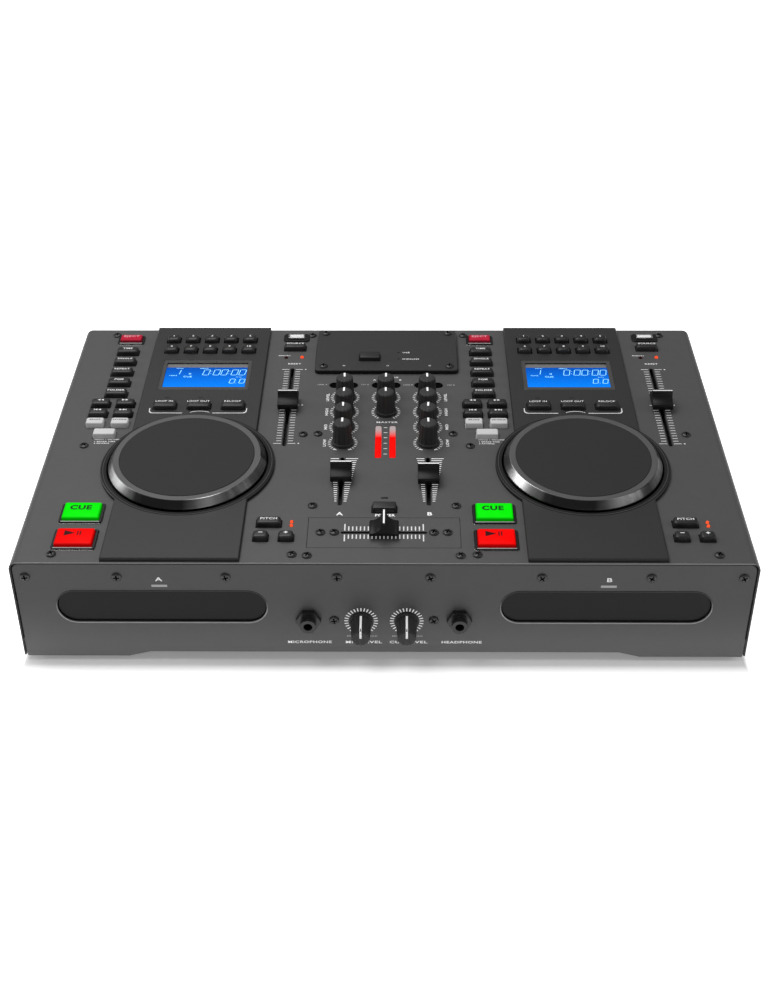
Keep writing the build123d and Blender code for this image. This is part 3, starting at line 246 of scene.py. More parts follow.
def makeLit(name, core, rim, strength, body=0.5, rough=0.35, key=None):
    # tinted clear plastic over a lamp, with a dark rim where it is a key at
    # (across, up the slope, half sides, top)
    paint = Paint(name)
    cloud = paint.grain(160, 1.0)
    colour = paint.blend(cloud, rim, core)
    if key:
        u, v = paint.onDeck()
        across, along = u.maths("ABSOLUTE", u - key[0]), v.maths("ABSOLUTE", v - key[1])
        reach = across.maths("MAXIMUM", across - key[2], along - key[3])
        reach = ((reach + keyRim) * (1 / keyRim)).clamp()
        wall = paint.height() < key[4] - 0.8
        reach = reach.maths("MAXIMUM", reach * 0.5, wall * 0.72)
        colour = paint.blend(reach, colour, shade(0))
    return paint.finish({
        "Base Color": paint.blend(body, shade(0), colour),
        "Emission Color": colour,
        "Emission Strength": strength,
        "Roughness": cloud * 0.06 + rough,
        "Normal": paint.soften(0.0004),
        "Specular IOR Level": 0.05,
    })


def makeInk(name, level, strength=0.0, tint=None):
    # strength makes the ink glow a little: on print this is painted light, so that it reads as
    # bright as lit white ink; on the display digits it is the display's own backlight
    paint = Paint(name)
    wear = paint.grain(1400, 2.0)
    high = tint or shade(level)
    low = tuple(c * 0.86 for c in high[:3]) + (1.0,)
    colour = paint.blend(wear, low, high)
    return paint.finish({
        "Base Color": colour,
        "Emission Color": colour,
        "Emission Strength": strength,
        "Roughness": wear * 0.1 + 0.5,
        "Specular IOR Level": 0.15,
    })


def makeModulePlastic():
    # the plate's side walls lie in the dark
    paint = Paint("modulePlastic")
    fine = paint.grain(3200, 1.5)
    colour = paint.blend(fine, shade(coat["module"] - 4), shade(coat["module"] + 5))
    wall = paint.height() < plateTop - 0.9
    return paint.finish({
        "Base Color": paint.blend(wall * 0.95, colour, shade(8)),
        "Roughness": fine * 0.06 + 0.44,
        "Specular IOR Level": 0.4,
        "Normal": paint.bump(fine, 0.00003, 0.4, paint.soften(0.0006)),
    })


def makeDeckPlastic():
    # painted shade on the side walls and the sunk rim of the jog well, with one painted highlight
    # line along the rim
    paint = Paint("deckPlastic")
    fine, coarse = paint.grain(3200, 1.5), paint.grain(55, 2.0)
    level = coat["deck"]
    colour = paint.blend(fine * 0.7 + coarse * 0.3, shade(level - 4), shade(level + 5))
    across, along = paint.onDeck()
    along = along - well["y"]
    radius = (across * across + along * along) ** 0.5
    sunk = (radius < well["rim"]) * (radius > well["radius"] - 2.0)
    # painted highlight along the edge of the sunk rim
    line = (radius < well["line"] + 0.2) * (radius > well["line"] - 0.2)
    dark = sunk.maths("MAXIMUM", sunk, paint.height() < well["height"] - 0.75)
    colour = paint.blend(dark * 0.95, colour, shade(8))
    colour = paint.blend(line * 0.55, colour, shade(104))
    return paint.finish({
        "Base Color": colour,
        "Roughness": dark * 0.3 + 0.46,
        "Specular IOR Level": 0.4,
        "Normal": paint.bump(fine, 0.00003, 0.4, paint.soften(0.0003)),
    })


# radius and rim bound the painted shade of the sunk rim, line is where the painted highlight runs
well = {"y": 116.2, "radius": 61.8, "rim": 65.9, "line": 64.4, "height": 3.0}
plateTop = 4.0
# edge is the colour of the painted highlight on the cover's cut front edge
coat = {"cover": 78, "front": 69, "foot": 132, "edge": 168, "deck": 43, "module": 46}
looks = {
    "cover": makePowderCoat("coverCoat", coat["cover"], coat["edge"]),
    # foot is the colour of painted light bounced from the floor, low on the front panel
    "front": makePowderCoat("frontCoat", coat["front"], 0, coat["foot"]),
    "deck": makeDeckPlastic(),
    "module": makeModulePlastic(),
    "frame": makePlastic("frameBlack", 20, 0.34, 900, 0.00001, 0.0003, None, 0.3),
    "rubber": makePlastic("keyRubber", 27, 0.42, 1500, 0.00002),
    "paleRubber": makePlastic("paleKeyRubber", 214, 0.5, 1500, 0.00002),
    "knob": makePlastic("knobPlastic", 56, 0.5, 1800, 0.00002, 0.0001, None, 0.22),
    "cap": makePlastic("capPlastic", 17, 0.4, 900, 0.00001, 0.0002, None, 0.24),
    "tray": makePlastic("trayPlastic", 22, 0.34, 1200, 0.00001, 0.0003, None, 0.14),
    "pad": makePlastic("jogPadSkin", 45, 0.6, 4200, 0.00002, 0.0003, None, 0.22),
    "flatRing": makePlastic("jogFlatRing", 84, 0.4, 4200, 0.00001),
    "black": makePlastic("mouldedBlack", 20, 0.38, 900, 0.00001),
    "jack": makePlastic("jackBlack", 36, 0.24, 700, 0.00001, 0.0004, None, 0.4),
    "board": makePlastic("boardLacquer", 0, 0.5, 700, 0.00001, 0.0001,
                         (shade(7, 9, 8), shade(14, 18, 15))),
    "supply": makePlastic("windingTape", 0, 0.5, 400, 0.00003, 0.0003,
                          (shade(116, 104, 60), shade(150, 136, 84))),
    "foot": makePlastic("footRubber", 26, 0.7, 1200, 0.00004),
    # painted shade: nearly black and almost without sheen, for the selector slots and the screw
    # recesses
    "paintedShade": makePlastic("slotShadow", 6, 0.8, 1200, 0.00001, 0.0002, None, 0.03),
    "zinc": makeMetal("zincSheet", 150, 0.42, (1, 30, 1), 300),
    "steel": makeMetal("tinPlate", 205, 0.24, (1, 12, 1), 700),
    "screw": makeMetal("blackedSteel", 62, 0.36, (1, 1, 1), 2600, 0.0002, 0.6),
    "nickel": makeMetal("nickelPlate", 176, 0.2, (1, 1, 1), 1200),
    # these inks glow a little: painted light on the print
    "white": makeInk("whiteInk", 240, 0.42),
    "grey": makeInk("greyInk", 176, 0.3),
    "soft": makeInk("fineInk", 216, 0.4),
    "fine": makeInk("thinInk", 240, 0.6),
    "dark": makeInk("darkInk", 26, 0.0),
    "segment": makeInk("displayDigits", 0, 0.9, shade(150, 226, 255)),
    "cue": makeLit("cueGreen", shade(0, 255, 4), shade(0, 244, 0), 0.9, 0.1, 0.35,
                   (-70.6, 55.8, 13.6, 9.3, 4.0)),
    "play": makeLit("playRed", shade(255, 0, 0), shade(244, 0, 0), 0.95, 0.1, 0.35,
                    (-70.6, 25.3, 13.6, 9.3, 4.0)),
    "eject": makeLit("ejectPink", shade(214, 48, 76), shade(188, 30, 54), 0.4, 0.5, 0.35,
                     (-70.9, 302.3, 9.2, 4.9, 3.6)),
    "ledRed": makeLit("lampRed", shade(255, 96, 50), shade(250, 50, 20), 1.0),
    "ledOrange": makeLit("lampOrange", shade(255, 104, 56), shade(232, 50, 22), 1.0),
    "ledOff": makeLit("lampOff", shade(96, 34, 30), shade(70, 22, 20), 0.0),
}
print("finishes made:", len(looks))


def linked(name, data):
    thing = bpy.data.objects.new(name, data)
    scene.collection.objects.link(thing)
    return thing


def evaluated(holder):
    graph = bpy.context.evaluated_depsgraph_get()
    return bpy.data.meshes.new_from_object(holder.evaluated_get(graph))


def repaint(mesh, look):
    mesh.materials.clear()
    mesh.materials.append(looks[look])
    return mesh


def joined(name, parts):
    # one mesh from several (mesh, place) pairs, with their finishes
    whole = bmesh.new()
    finishes = []
    for mesh, place in parts:
        firstVert, firstFace = len(whole.verts), len(whole.faces)
        whole.from_mesh(mesh)
        whole.verts.ensure_lookup_table()
        whole.faces.ensure_lookup_table()
        for vert in whole.verts[firstVert:]:
            vert.co = place @ vert.co
        for material in mesh.materials:
            if material not in finishes:
                finishes.append(material)
        for face in whole.faces[firstFace:]:
            face.material_index = finishes.index(mesh.materials[face.material_index])
    mesh = bpy.data.meshes.new(name)
    whole.to_mesh(mesh)
    whole.free()
    for material in finishes:
        mesh.materials.append(material)
    return mesh


def addPiece(name, parts, body, replaced=(), smooth=None):
    mesh = joined(name, parts)
    piece = linked(name, mesh)
    if smooth is not None:
        mesh.shade_smooth()
        mesh.set_sharp_from_angle(angle=radians(smooth))
    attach(piece, body)
    if replaced:
        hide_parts(*replaced)


def toMesh(work, look):
    mesh = bpy.data.meshes.new("shape")
    work.to_mesh(mesh)
    work.free()
    mesh.materials.append(looks[look])
    return mesh


def circle(work, radius, height, steps):
    return [work.verts.new((radius * cos(2 * pi * step / steps),
                            radius * sin(2 * pi * step / steps), height))
            for step in range(steps)]


def roundLoop(work, across, up, radius, height, steps):
    # rounded rectangle, by the half distances between the middles of its corner arcs
    return [work.verts.new((sx * across + radius * cos(angle), sy * up + radius * sin(angle),
                            height))
            for sx, sy, start in ((1, 1, 0), (-1, 1, 90), (-1, -1, 180), (1, -1, 270))
            for angle in (radians(start + 90 * step / steps) for step in range(steps + 1))]


def stitch(work, loops, closed=True):
    # faces between each loop and the next, and from the last one back to the first
    for upper, lower in zip(loops, loops[1:] + (loops[:1] if closed else [])):
        for i in range(len(upper)):
            j = (i + 1) % len(upper)
            work.faces.new([upper[i], upper[j], lower[j], lower[i]])
    bmesh.ops.recalc_face_normals(work, faces=work.faces)


def lathe(profile, look, steps=96):
    # profile of (radius, height) from the bottom outwards and up to the axis
    work = bmesh.new()
    rings = [circle(work, radius, height, 1 if radius < 1e-6 else steps)
             for radius, height in profile]
    for lower, upper in zip(rings, rings[1:]):
        for step in range(steps):
            after = (step + 1) % steps
            # a ring on the axis is a single point
            unique = list(dict.fromkeys((
                lower[step % len(lower)], lower[after % len(lower)],
                upper[after % len(upper)], upper[step % len(upper)])))
            if len(unique) > 2:
                work.faces.new(unique)
    bmesh.ops.recalc_face_normals(work, faces=work.faces)
    return toMesh(work, look)


def softBlock(size, look, corner=0.8, edge=0.6, taper=0.0, segments=3, foot=0.0):
    # rounded block standing on the plane: upright corners, then the rim of its top
    width, depth, height = size
    work = bmesh.new()
    bmesh.ops.create_cube(work, size=1.0)
    for vert in work.verts:
        lean = 1 - taper if vert.co.z > 0 else 1.0
        vert.co.x *= width * lean
        vert.co.y *= depth * lean
        vert.co.z = foot + (height - foot if vert.co.z > 0 else 0.0)
    tall = [e for e in work.edges if abs(e.verts[0].co.z - e.verts[1].co.z) > 1e-6]
    if corner:
        bmesh.ops.bevel(work, geom=tall, offset=corner, segments=segments, profile=0.5,
                        affect="EDGES")
    rim = [e for e in work.edges if all(abs(v.co.z - height) < 1e-6 for v in e.verts)]
    if edge:
        bmesh.ops.bevel(work, geom=rim, offset=edge, segments=segments, profile=0.5,
                        affect="EDGES")
    return toMesh(work, look)


def at(place, x, y, z=0.0, turn=0.0):
    return place @ Matrix.Translation((x, y, z)) @ Matrix.Rotation(radians(turn), 4, "Z")


def onTop(*where):
    return at(topPlace, *where)


def onFront(*where):
    return at(frontPlace, *where)


class Shape(Graph):
    # a geometry node tree with named sizes
    def __init__(self, name, sizes):
        self.tree = bpy.data.node_groups.new(name, "GeometryNodeTree")
        self.sockets = {}
        self.tree.interface.new_socket("Geometry", in_out="INPUT", socket_type="NodeSocketGeometry")
        kinds = {int: "NodeSocketInt", float: "NodeSocketFloat"}
        for key, value in {**sizes, "Piece": None, "Finish": ""}.items():
            kind = {"Piece": "NodeSocketObject", "Finish": "NodeSocketMaterial"}.get(key)
            made = self.tree.interface.new_socket(key, in_out="INPUT",
                                                  socket_type=kind or kinds[type(value)])
            self.sockets[key] = made.identifier
            if not kind:
                made.default_value = value
        self.tree.interface.new_socket("Geometry", in_out="OUTPUT",
                                       socket_type="NodeSocketGeometry")
        entry = self.tree.nodes.new("NodeGroupInput")
        self.size = {key: Wire(self, entry.outputs[key]) for key in self.sockets}
        self.entry = Wire(self, entry.outputs["Geometry"])

    def close(self, geometry):
        real = self.node("GeometryNodeRealizeInstances", {}, {0: geometry})
        painted = self.node("GeometryNodeSetMaterial", {},
                            {"Geometry": real, "Material": self.size["Finish"]})
        self.node("NodeGroupOutput", {}, {0: painted})
        return self

    def grow(self, name, material, sizes, base=None, piece=None):
        # the tree's result as a plain mesh
        holder = linked(name, base or bpy.data.meshes.new(name))
        modifier = holder.modifiers.new("shape", "NODES")
        modifier.node_group = self.tree
        for key, value in sizes.items():
            modifier[self.sockets[key]] = value
        modifier[self.sockets["Finish"]] = material
        if piece:
            modifier[self.sockets["Piece"]] = piece
        mesh = evaluated(holder)
        holder.modifiers.clear()
        bpy.data.objects.remove(holder)
        return mesh


def vector(graph, x=0.0, y=0.0, z=0.0):
    return graph.node("ShaderNodeCombineXYZ", {}, {0: x, 1: y, 2: z})


def makeTickRow():
    # printed ticks along +Y, longer at every so many, narrowing towards the far end
    shape = Shape("tickRow", {"Count": 31, "Step": 3.6, "Length": 4.0, "Width": 0.5, "Side": 1.0,
                              "Long Every": 15, "Long By": 1.4, "Narrow To": 1.0})
    size = shape.size
    line = shape.node("GeometryNodeMeshLine", {}, {
        "Count": size["Count"], "Offset": vector(shape, y=size["Step"])})
    index = shape.node("GeometryNodeInputIndex")
    rest = index.maths("MODULO", index, size["Long Every"])
    along = index / (size["Count"] - 1.0)
    stretch = (1 + (rest < 0.5) * (size["Long By"] - 1.0)) * (1 - along * (1 - size["Narrow To"]))
    tick = shape.node("GeometryNodeMeshGrid", {}, {
        "Size X": size["Length"], "Size Y": size["Width"], "Vertices X": 2, "Vertices Y": 2})
    hung = shape.node("GeometryNodeTransform", {}, {
        "Geometry": tick, "Translation": vector(shape, size["Length"] * size["Side"] * 0.5)})
    placed = shape.node("GeometryNodeInstanceOnPoints", {}, {
        "Points": line, "Instance": hung, "Scale": vector(shape, stretch, 1.0, 1.0)})
    return shape.close(placed)


def makeTickRing():
    # printed ticks round a knob, over a sweep that is open towards -Y
    shape = Shape("tickRing", {"Count": 21, "Sweep": 280.0, "Radius": 10.2, "Length": 1.5,
                               "Width": 0.42})
    size = shape.size
    line = shape.node("GeometryNodeMeshLine", {}, {"Count": size["Count"]})
    index = shape.node("GeometryNodeInputIndex")
    angle = (index / (size["Count"] - 1.0) - 0.5) * size["Sweep"] * (pi / 180) + pi / 2
    spot = vector(shape, angle.maths("COSINE", angle) * size["Radius"],
                  angle.maths("SINE", angle) * size["Radius"])
    moved = shape.node("GeometryNodeSetPosition", {}, {"Geometry": line, "Position": spot})
    tick = shape.node("GeometryNodeMeshGrid", {}, {
        "Size X": size["Length"], "Size Y": size["Width"], "Vertices X": 2, "Vertices Y": 2})
    turn = shape.node("FunctionNodeEulerToRotation", {}, {0: vector(shape, z=angle)})
    placed = shape.node("GeometryNodeInstanceOnPoints", {}, {
        "Points": moved, "Instance": tick, "Rotation": turn})
    return shape.close(placed)


def makeScatter():
    # one piece on every point, each turned by a fixed random angle
    shape = Shape("onEveryPoint", {"Lift": 0.0, "Turn": 0.0, "Seed": 4})
    size = shape.size
    spin = shape.node("FunctionNodeRandomValue", {"data_type": "FLOAT"}, {
        2: 0.0, 3: 1.0, "Seed": size["Seed"]}, 1)
    raised = shape.node("GeometryNodeSetPosition", {}, {
        "Geometry": shape.entry, "Offset": vector(shape, z=size["Lift"])})
    picked = shape.node("GeometryNodeObjectInfo", {}, {"Object": size["Piece"]}, "Geometry")
    turn = shape.node("FunctionNodeEulerToRotation", {}, {0: vector(shape, z=spin * size["Turn"])})
    placed = shape.node("GeometryNodeInstanceOnPoints", {}, {
        "Points": raised, "Instance": picked, "Rotation": turn})
    return shape.close(placed)


def makeGrip():
    # ribbed knob grip: a ribbed round swept up a line, with a radius that tapers
    # and rounds over at the top
    shape = Shape("knobGrip", {"Height": 17.0, "Foot Radius": 7.7, "Tip Radius": 6.7,
                               "Ribs": 14, "Rib Depth": 0.06, "Round Over": 1.2,
                               "Levels": 22, "Steps": 112})
    size = shape.size
    start = shape.node("GeometryNodeCurvePrimitiveLine", {}, {
        "Start": vector(shape), "End": vector(shape, z=size["Height"])})
    line = shape.node("GeometryNodeResampleCurve", {}, {"Curve": start, "Count": size["Levels"]})
    height = shape.node("ShaderNodeSeparateXYZ", {}, {
        0: shape.node("GeometryNodeInputPosition")}).other("Z")
    taper = size["Foot Radius"] + (size["Tip Radius"] - size["Foot Radius"]) * (
        height / size["Height"])
    over = (height - (size["Height"] - size["Round Over"])) / size["Round Over"]
    over = over.maths("MAXIMUM", over, 0.0)
    radius = taper - size["Round Over"] * (1 - (1 - over * over * 0.98) ** 0.5)
    line = shape.node("GeometryNodeSetCurveRadius", {}, {"Curve": line, "Radius": radius})
    ring = shape.node("GeometryNodeCurvePrimitiveCircle", {}, {
        "Resolution": size["Steps"], "Radius": 1.0})
    x = shape.node("ShaderNodeSeparateXYZ", {}, {0: shape.node("GeometryNodeInputPosition")})
    y = x.other("Y")
    angle = x.maths("ARCTAN2", y, x)
    wave = angle.maths("COSINE", angle * size["Ribs"])
    inward = 1 - ((wave + 1.0) * 0.5) ** 3.0 * size["Rib Depth"]
    ribbed = shape.node("GeometryNodeSetPosition", {}, {
        "Geometry": ring, "Position": vector(shape, x * inward, y * inward)})
    swept = shape.node("GeometryNodeCurveToMesh", {}, {
        "Curve": line, "Profile Curve": ribbed, "Fill Caps": True, "Scale": radius})
    return shape.close(swept)


tickRow, tickRing, scatter, grip = makeTickRow(), makeTickRing(), makeScatter(), makeGrip()
print("node trees made")


def onPoints(name, mesh, places, turn=0.0, lift=0.0, seed=4):
    # the mesh on every place, as one mesh that keeps the mesh's own finish
    helper = linked(name + "Pattern", mesh)
    points = bpy.data.meshes.new(name + "Points")
    points.from_pydata([(x, y, 0.0) for x, y in places], [], [])
    grown = scatter.grow(name, mesh.materials[0], {"Turn": turn, "Lift": lift, "Seed": seed},
                         points, helper)
    bpy.data.objects.remove(helper)
    return grown


def lettering(text, size, look, stretch=1.25, weight=0.03, align="CENTER"):
    curve = bpy.data.curves.new("print", "FONT")
    curve.body = text
    curve.size = size * 1.38  # so that size is the height of a capital
    curve.align_x = align
    curve.align_y = "CENTER"
    curve.offset = weight * size
    curve.space_character = 1.12
    curve.resolution_u = 3
    holder = linked("print", curve)
    mesh = evaluated(holder)
    bpy.data.objects.remove(holder)
    mesh.transform(Matrix.Diagonal((stretch, 1, 1, 1)))
    return repaint(mesh, look)


def words(place, lift, rows):
    # printed words: text, capital height, finish, stretch, place, and where they differ from
    # the usual ones, stroke weight and turn
    return [(lettering(text, size, look, stretch, *more[:1]), at(place, x, y, lift, *more[1:]))
            for text, size, look, stretch, x, y, *more in rows]


def flat(polygons, look):
    # flat printed shapes, each a list of corners, turned anticlockwise
    work = bmesh.new()
    for corners in polygons:
        face = work.faces.new([work.verts.new((x, y, 0)) for x, y in corners])
        face.normal_update()
        if face.normal.z < 0:
            face.normal_flip()
    return toMesh(work, look)


def bar(x0, y0, x1, y1):
    return [(x0, y0), (x1, y0), (x1, y1), (x0, y1)]


# ---- fixed finishes of the CAD nodes that stay as they are
stay = {
    "base_chassis": "zinc", "front_panel": "front", "rear_panel": "front", "top_cover": "cover",
    "feet": "foot", "deck_panel_a": "deck", "deck_panel_b": "deck", "crossfader_plate": "cover",
    "disc_drive_a": "black", "disc_drive_b": "black", "mixer_board": "board",
    "deck_boards": "board", "power_supply": "supply", "rear_sockets": "black",
    "mains_inlet": "black", "disc_tray_a": "tray", "disc_tray_b": "tray",
    "jog_wheel_a": "pad", "jog_wheel_b": "pad", "jog_ring_a": "flatRing", "jog_ring_b": "flatRing",
    "module_plate": "module", "panel_frames": "frame", "display_windows": "frame",
    "displays": "black", "usb_sockets": "steel", "front_jacks": "jack", "lamps": "ledOff",
    "power_rocker": "black",
}
for node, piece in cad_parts.items():
    look = stay.get(node)
    if look is None:
        look = "knob" if "knob" in node else "cap" if "fader" in node else "rubber"
    repaint(piece.data, look)
print("CAD nodes painted")

# ---- jog wheels
jog = {"padRadius": 51.2, "flatRadius": 56.0, "ringRadius": 60.3,
       "ringTop": 10.0, "ringFoot": 4.4, "wall": 2.0, "wellY": 116.2}


def makeSkirtMetal():
    # turned aluminium: fine rings round the axis, and soft patches that are partly the polish's own
    # variation and partly painted reflection
    paint = Paint("turnedAluminium")
    uv = paint.node("ShaderNodeUVMap", {"uv_map": "turned"})
    rings, polishAndReflection = (paint.node("ShaderNodeTexNoise", {}, {
        "Vector": paint.node("ShaderNodeMapping", {}, {"Vector": uv, "Scale": squeeze}),
        "Scale": scale, "Detail": detail}) for squeeze, scale, detail in
        (((3, 160, 1), 4.0, 3.0), ((26, 0.5, 1), 1.6, 2.0)))
    turn = paint.node("ShaderNodeSeparateXYZ", {}, {0: uv})
    tone = rings * 0.3 + polishAndReflection * 0.4 - 0.24
    # painted highlights and painted dark reflections round the ring: place round the turn, width
    # and power
    for place, wide, power in ((0.585, 0.04, 0.75), (0.71, 0.05, -0.5), (0.81, 0.022, 0.7),
                               (0.88, 0.03, -0.2), (0.985, 0.02, 0.5)):
        away = (turn - place) / wide
        tone = tone + away.maths("DIVIDE", power, away * away + 1.0)
    return paint.finish({
        "Base Color": paint.blend(tone, shade(56), shade(228)),
        "Metallic": 1.0,
        "Roughness": rings * 0.16 + 0.24,
        "Normal": paint.bump(rings, 0.00003, 0.5),
    })


def makeJog(deck):
    centre = onTop(deckX[deck], jog["wellY"])
    inner, edge, top = jog["padRadius"] + 0.15, jog["flatRadius"], jog["ringTop"]
    outer, foot, wall, steps = jog["ringRadius"], jog["ringFoot"], jog["wall"], 160
    ring = lathe([(inner, top - 1.2), (edge, top - 1.2), (edge, top - 0.15), (edge - 0.15, top),
                  (inner + 0.3, top), (inner, top - 0.3), (inner, top - 1.2)], "flatRing", steps)
    work = bmesh.new()
    layer = work.loops.layers.uv.new("turned")
    profile = [(edge - 0.05, top - 0.05), (edge + 0.3, top - 0.15), (outer - 0.25, foot + 0.35),
               (outer, foot - 0.1), (outer, foot - 0.6), (outer - 0.5, foot - 0.9),
               (outer - wall, foot - 0.6), (edge - wall, top - wall)]
    rings = [circle(work, r, z, steps) for r, z in profile]
    for level, (upper, lower) in enumerate(zip(rings, rings[1:] + rings[:1])):
        for i in range(steps):
            j = (i + 1) % steps
            face = work.faces.new([upper[i], lower[i], lower[j], upper[j]])
            for loop, (u, v) in zip(face.loops, ((i, level), (i, level + 1), (i + 1, level + 1),
                                                 (i + 1, level))):
                loop[layer].uv = (u / steps, v / len(profile))
    bmesh.ops.recalc_face_normals(work, faces=work.faces)
    skirt = toMesh(work, "turned")
    addPiece(f"jogSkirt_{deck}", [(ring, centre), (skirt, centre)], f"jog_{deck}",
             (f"jog_ring_{deck}",), 30)


looks["turned"] = makeSkirtMetal()
for deck in deckX:
    makeJog(deck)
print("jog wheels made")

# ---- rubber keys
keys = {"depth": 8.7, "top": 4.5, "root": -1.6, "deckTop": 7.0, "corner": 2.2, "edge": 1.5,
        "taper": 0.07, "label": 0.8, "ink": 0.03}
sideU, searchGap, lightGap = -70.9, 20.0, 19.8
functionRows = (281.8, 265.3, 248.9, 232.5, 216.1)
searchRows = (201.0, 186.7)
lightRow, lowLightRow = 172.6, 157.4
hotRows, hotPitch = (298.1, 281.1), 16.5
loopRow, loopPitch = 194.5, 27.6
pitchKey, bendKeys, sourceKey = (67.3, 44.6), ((62.4, 28.3), (80.7, 28.3)), (72.3, 289.6)


def keySet(width, places, top=keys["top"], look="rubber", root=keys["root"], depth=keys["depth"]):
    # like keys on every place; the pale ones have tighter corners
    tight = 0.6 if look == "paleRubber" else 1.0
    key = softBlock((width, depth, top), look, keys["corner"] * tight,
                    keys["edge"] * tight, keys["taper"], 3, root)
    return onPoints("keys", key, places), topPlace


def arrows(kind):
    # winding symbols: two triangles, with a bar for skipping
    shapes = [[(0.2, -1.1), (2.6, 0), (0.2, 1.1)], [(-2.6, -1.1), (-0.2, 0), (-2.6, 1.1)]]
    if "skip" in kind:
        shapes.append(bar(2.6, -1.1, 3.1, 1.1))
    side = -1 if "back" in kind else 1
    return flat([[(side * x, y) for x, y in s] for s in shapes], "soft")


def makeSideKeys(deck):
    x = deckX[deck]
    left, top = x + sideU, keys["top"]
    searches = [(left + s * searchGap / 2, y) for y in searchRows for s in (-1, 1)]
    lights = [(left + s * lightGap / 2, lightRow) for s in (-1, 1)]
    bends = [(x + u, y) for u, y in bendKeys]
    bend = softBlock((11.4, keys["depth"], top), "rubber", 2.5, 1.5, 0.08, 4, keys["root"])
    parts = [keySet(18.9, [(left, y) for y in functionRows]), keySet(15.8, searches),
             keySet(14.4, lights, top, "paleRubber"),
             keySet(18.0, [(left, lowLightRow)], top, "paleRubber"),
             keySet(18.6, [(x + pitchKey[0], pitchKey[1])]),
             (onPoints("keys", bend, bends), topPlace),
             keySet(18.8, [(x + sourceKey[0], sourceKey[1])])]
    parts += [(arrows(kind), onTop(u, v + 1.2, top + keys["ink"]))
              for (u, v), kind in zip(searches, ("back", "on", "backskip", "onskip"))]
    rows = [(label, 2.3, "soft", 1.12, left, y + keys["label"])
            for label, y in zip(("TIME", "SINGLE", "REPEAT", "PGM", "FOLDER"), functionRows)]
    rows += [(label, 1.5, "dark", 1.3, u, v + 1.0)
             for label, (u, v) in zip(("BRAKE", "REVERSE"), lights)]
    rows += [(label, 3.0, "soft", 1.3, u, v + 0.9, 0.07)
             for label, (u, v) in zip(("−", "+"), bends)]
    rows += [("PITCH", 2.5, "soft", 1.2, x + pitchKey[0], pitchKey[1] + keys["label"]),
             ("SOURCE", 2.1, "soft", 1.25, x + sourceKey[0], sourceKey[1] + 1.4)]
    addPiece(f"sideKeys_{deck}", parts + words(topPlace, top + keys["ink"], rows),
             f"side_keys_{deck}", (f"cover_keypad_{deck}",), 35)


def makePadKeys(deck):
    x, top = deckX[deck], keys["deckTop"]
    places = [(x + (c - 2) * hotPitch, y) for y in hotRows for c in range(5)]
    loops = [(x + c * loopPitch, loopRow) for c in (-1, 0, 1)]
    hotKey = softBlock((11.8, 10.0, top), "rubber", 3.0, 2.0, 0.1, 4, 0.3)
    parts = [(onPoints("keys", hotKey, places), topPlace),
             keySet(19.6, loops, top, "rubber", 0.3, 10.4)]
    rows = [(str(number), 2.2, "soft", 1.2, u, v + 1.2)
            for number, (u, v) in enumerate(places, 1)]
    rows += [(label, 2.2, "soft", 1.1, u - 0.6, v + 2.0, 0.02)
             for label, (u, v) in zip(("LOOP IN", "LOOP OUT", "RELOOP"), loops)]
    addPiece(f"padKeys_{deck}", parts + words(topPlace, top + keys["ink"], rows),
             f"pad_keys_{deck}", (f"deck_keypad_{deck}",), 35)


for deck in deckX:
    makeSideKeys(deck)
    makePadKeys(deck)
powerKey = softBlock((18.2, 8.7, 4.5), "rubber", 1.4, 0.8, 0.05, 3, keys["root"])
moduleKey = softBlock((17.6, 10.0, 7.4), "rubber", 0.9, 0.8, 0.03, 3, 0.3)
addPiece("centreKeys", [(powerKey, onTop(0, 62.2)), (moduleKey, onTop(-14.3, 268.4))],
         "centre_keys", ("mixer_keys",), 35)
print("rubber keys made")

# ---- lit keys in their frames
litKeys = {
    "cue": {"at": (-70.6, 55.8), "size": (27.3, 18.6, 4.0), "slot": "cue_plastic"},
    "play": {"at": (-70.6, 25.3), "size": (27.3, 18.6, 4.0), "slot": "play_plastic"},
    "eject": {"at": (-70.9, 302.3), "size": (18.4, 9.8, 3.6), "slot": "eject_plastic"},
}


def makeLitKey(name, deck):
    key = litKeys[name]
    x, y = deckX[deck] + key["at"][0], key["at"][1]
    width, depth, top = key["size"]
    ink = top + keys["ink"]
    body = softBlock((width + 0.5, depth + 0.5, 1.2), "cap", 1.5, 0.3, 0.0, 3, -1.0)
    lens = softBlock(key["size"], name, 1.4, 0.6, 0.02, 4, 1.15)
    parts = [(body, onTop(x, y)), (lens, onTop(x, y))]
    if name == "play":
        signs = [[(-7.8, -3.1), (0.0, 0), (-7.8, 3.1)], bar(1.5, -2.4, 2.4, 2.4),
                 bar(3.4, -2.4, 4.3, 2.4)]
        parts.append((flat(signs, "playInk"), onTop(x, y + 3.4, ink)))
    else:
        word = {"cue": ("CUE", 5.0, "cueInk", 1.12, x - 1.1, y + 2.8, 0.07),
                "eject": ("EJECT", 2.7, "ejectInk", 1.3, x, y + 2.2)}[name]
        parts += words(topPlace, ink, [word])
    addPiece(f"{name}Key_{deck}", parts, f"{name}_{deck}", (f"{name}_key_{deck}",),
             35)


def hollowFrame(size, opening, height, look, corner=1.4, edge=0.35, foot=0.0):
    # rectangular frame with rounded corners and a rounded outer rim
    work = bmesh.new()
    inside, outside = (*opening, 0.3), (*size, corner)
    shrunk = (size[0] - 2 * edge, size[1] - 2 * edge, corner - edge)
    stitch(work, [roundLoop(work, a / 2 - r, b / 2 - r, r, z, 4) for (a, b, r), z in
                  ((inside, foot), (outside, foot), (outside, height - edge), (shrunk, height),
                   (inside, height))])
    return toMesh(work, look)


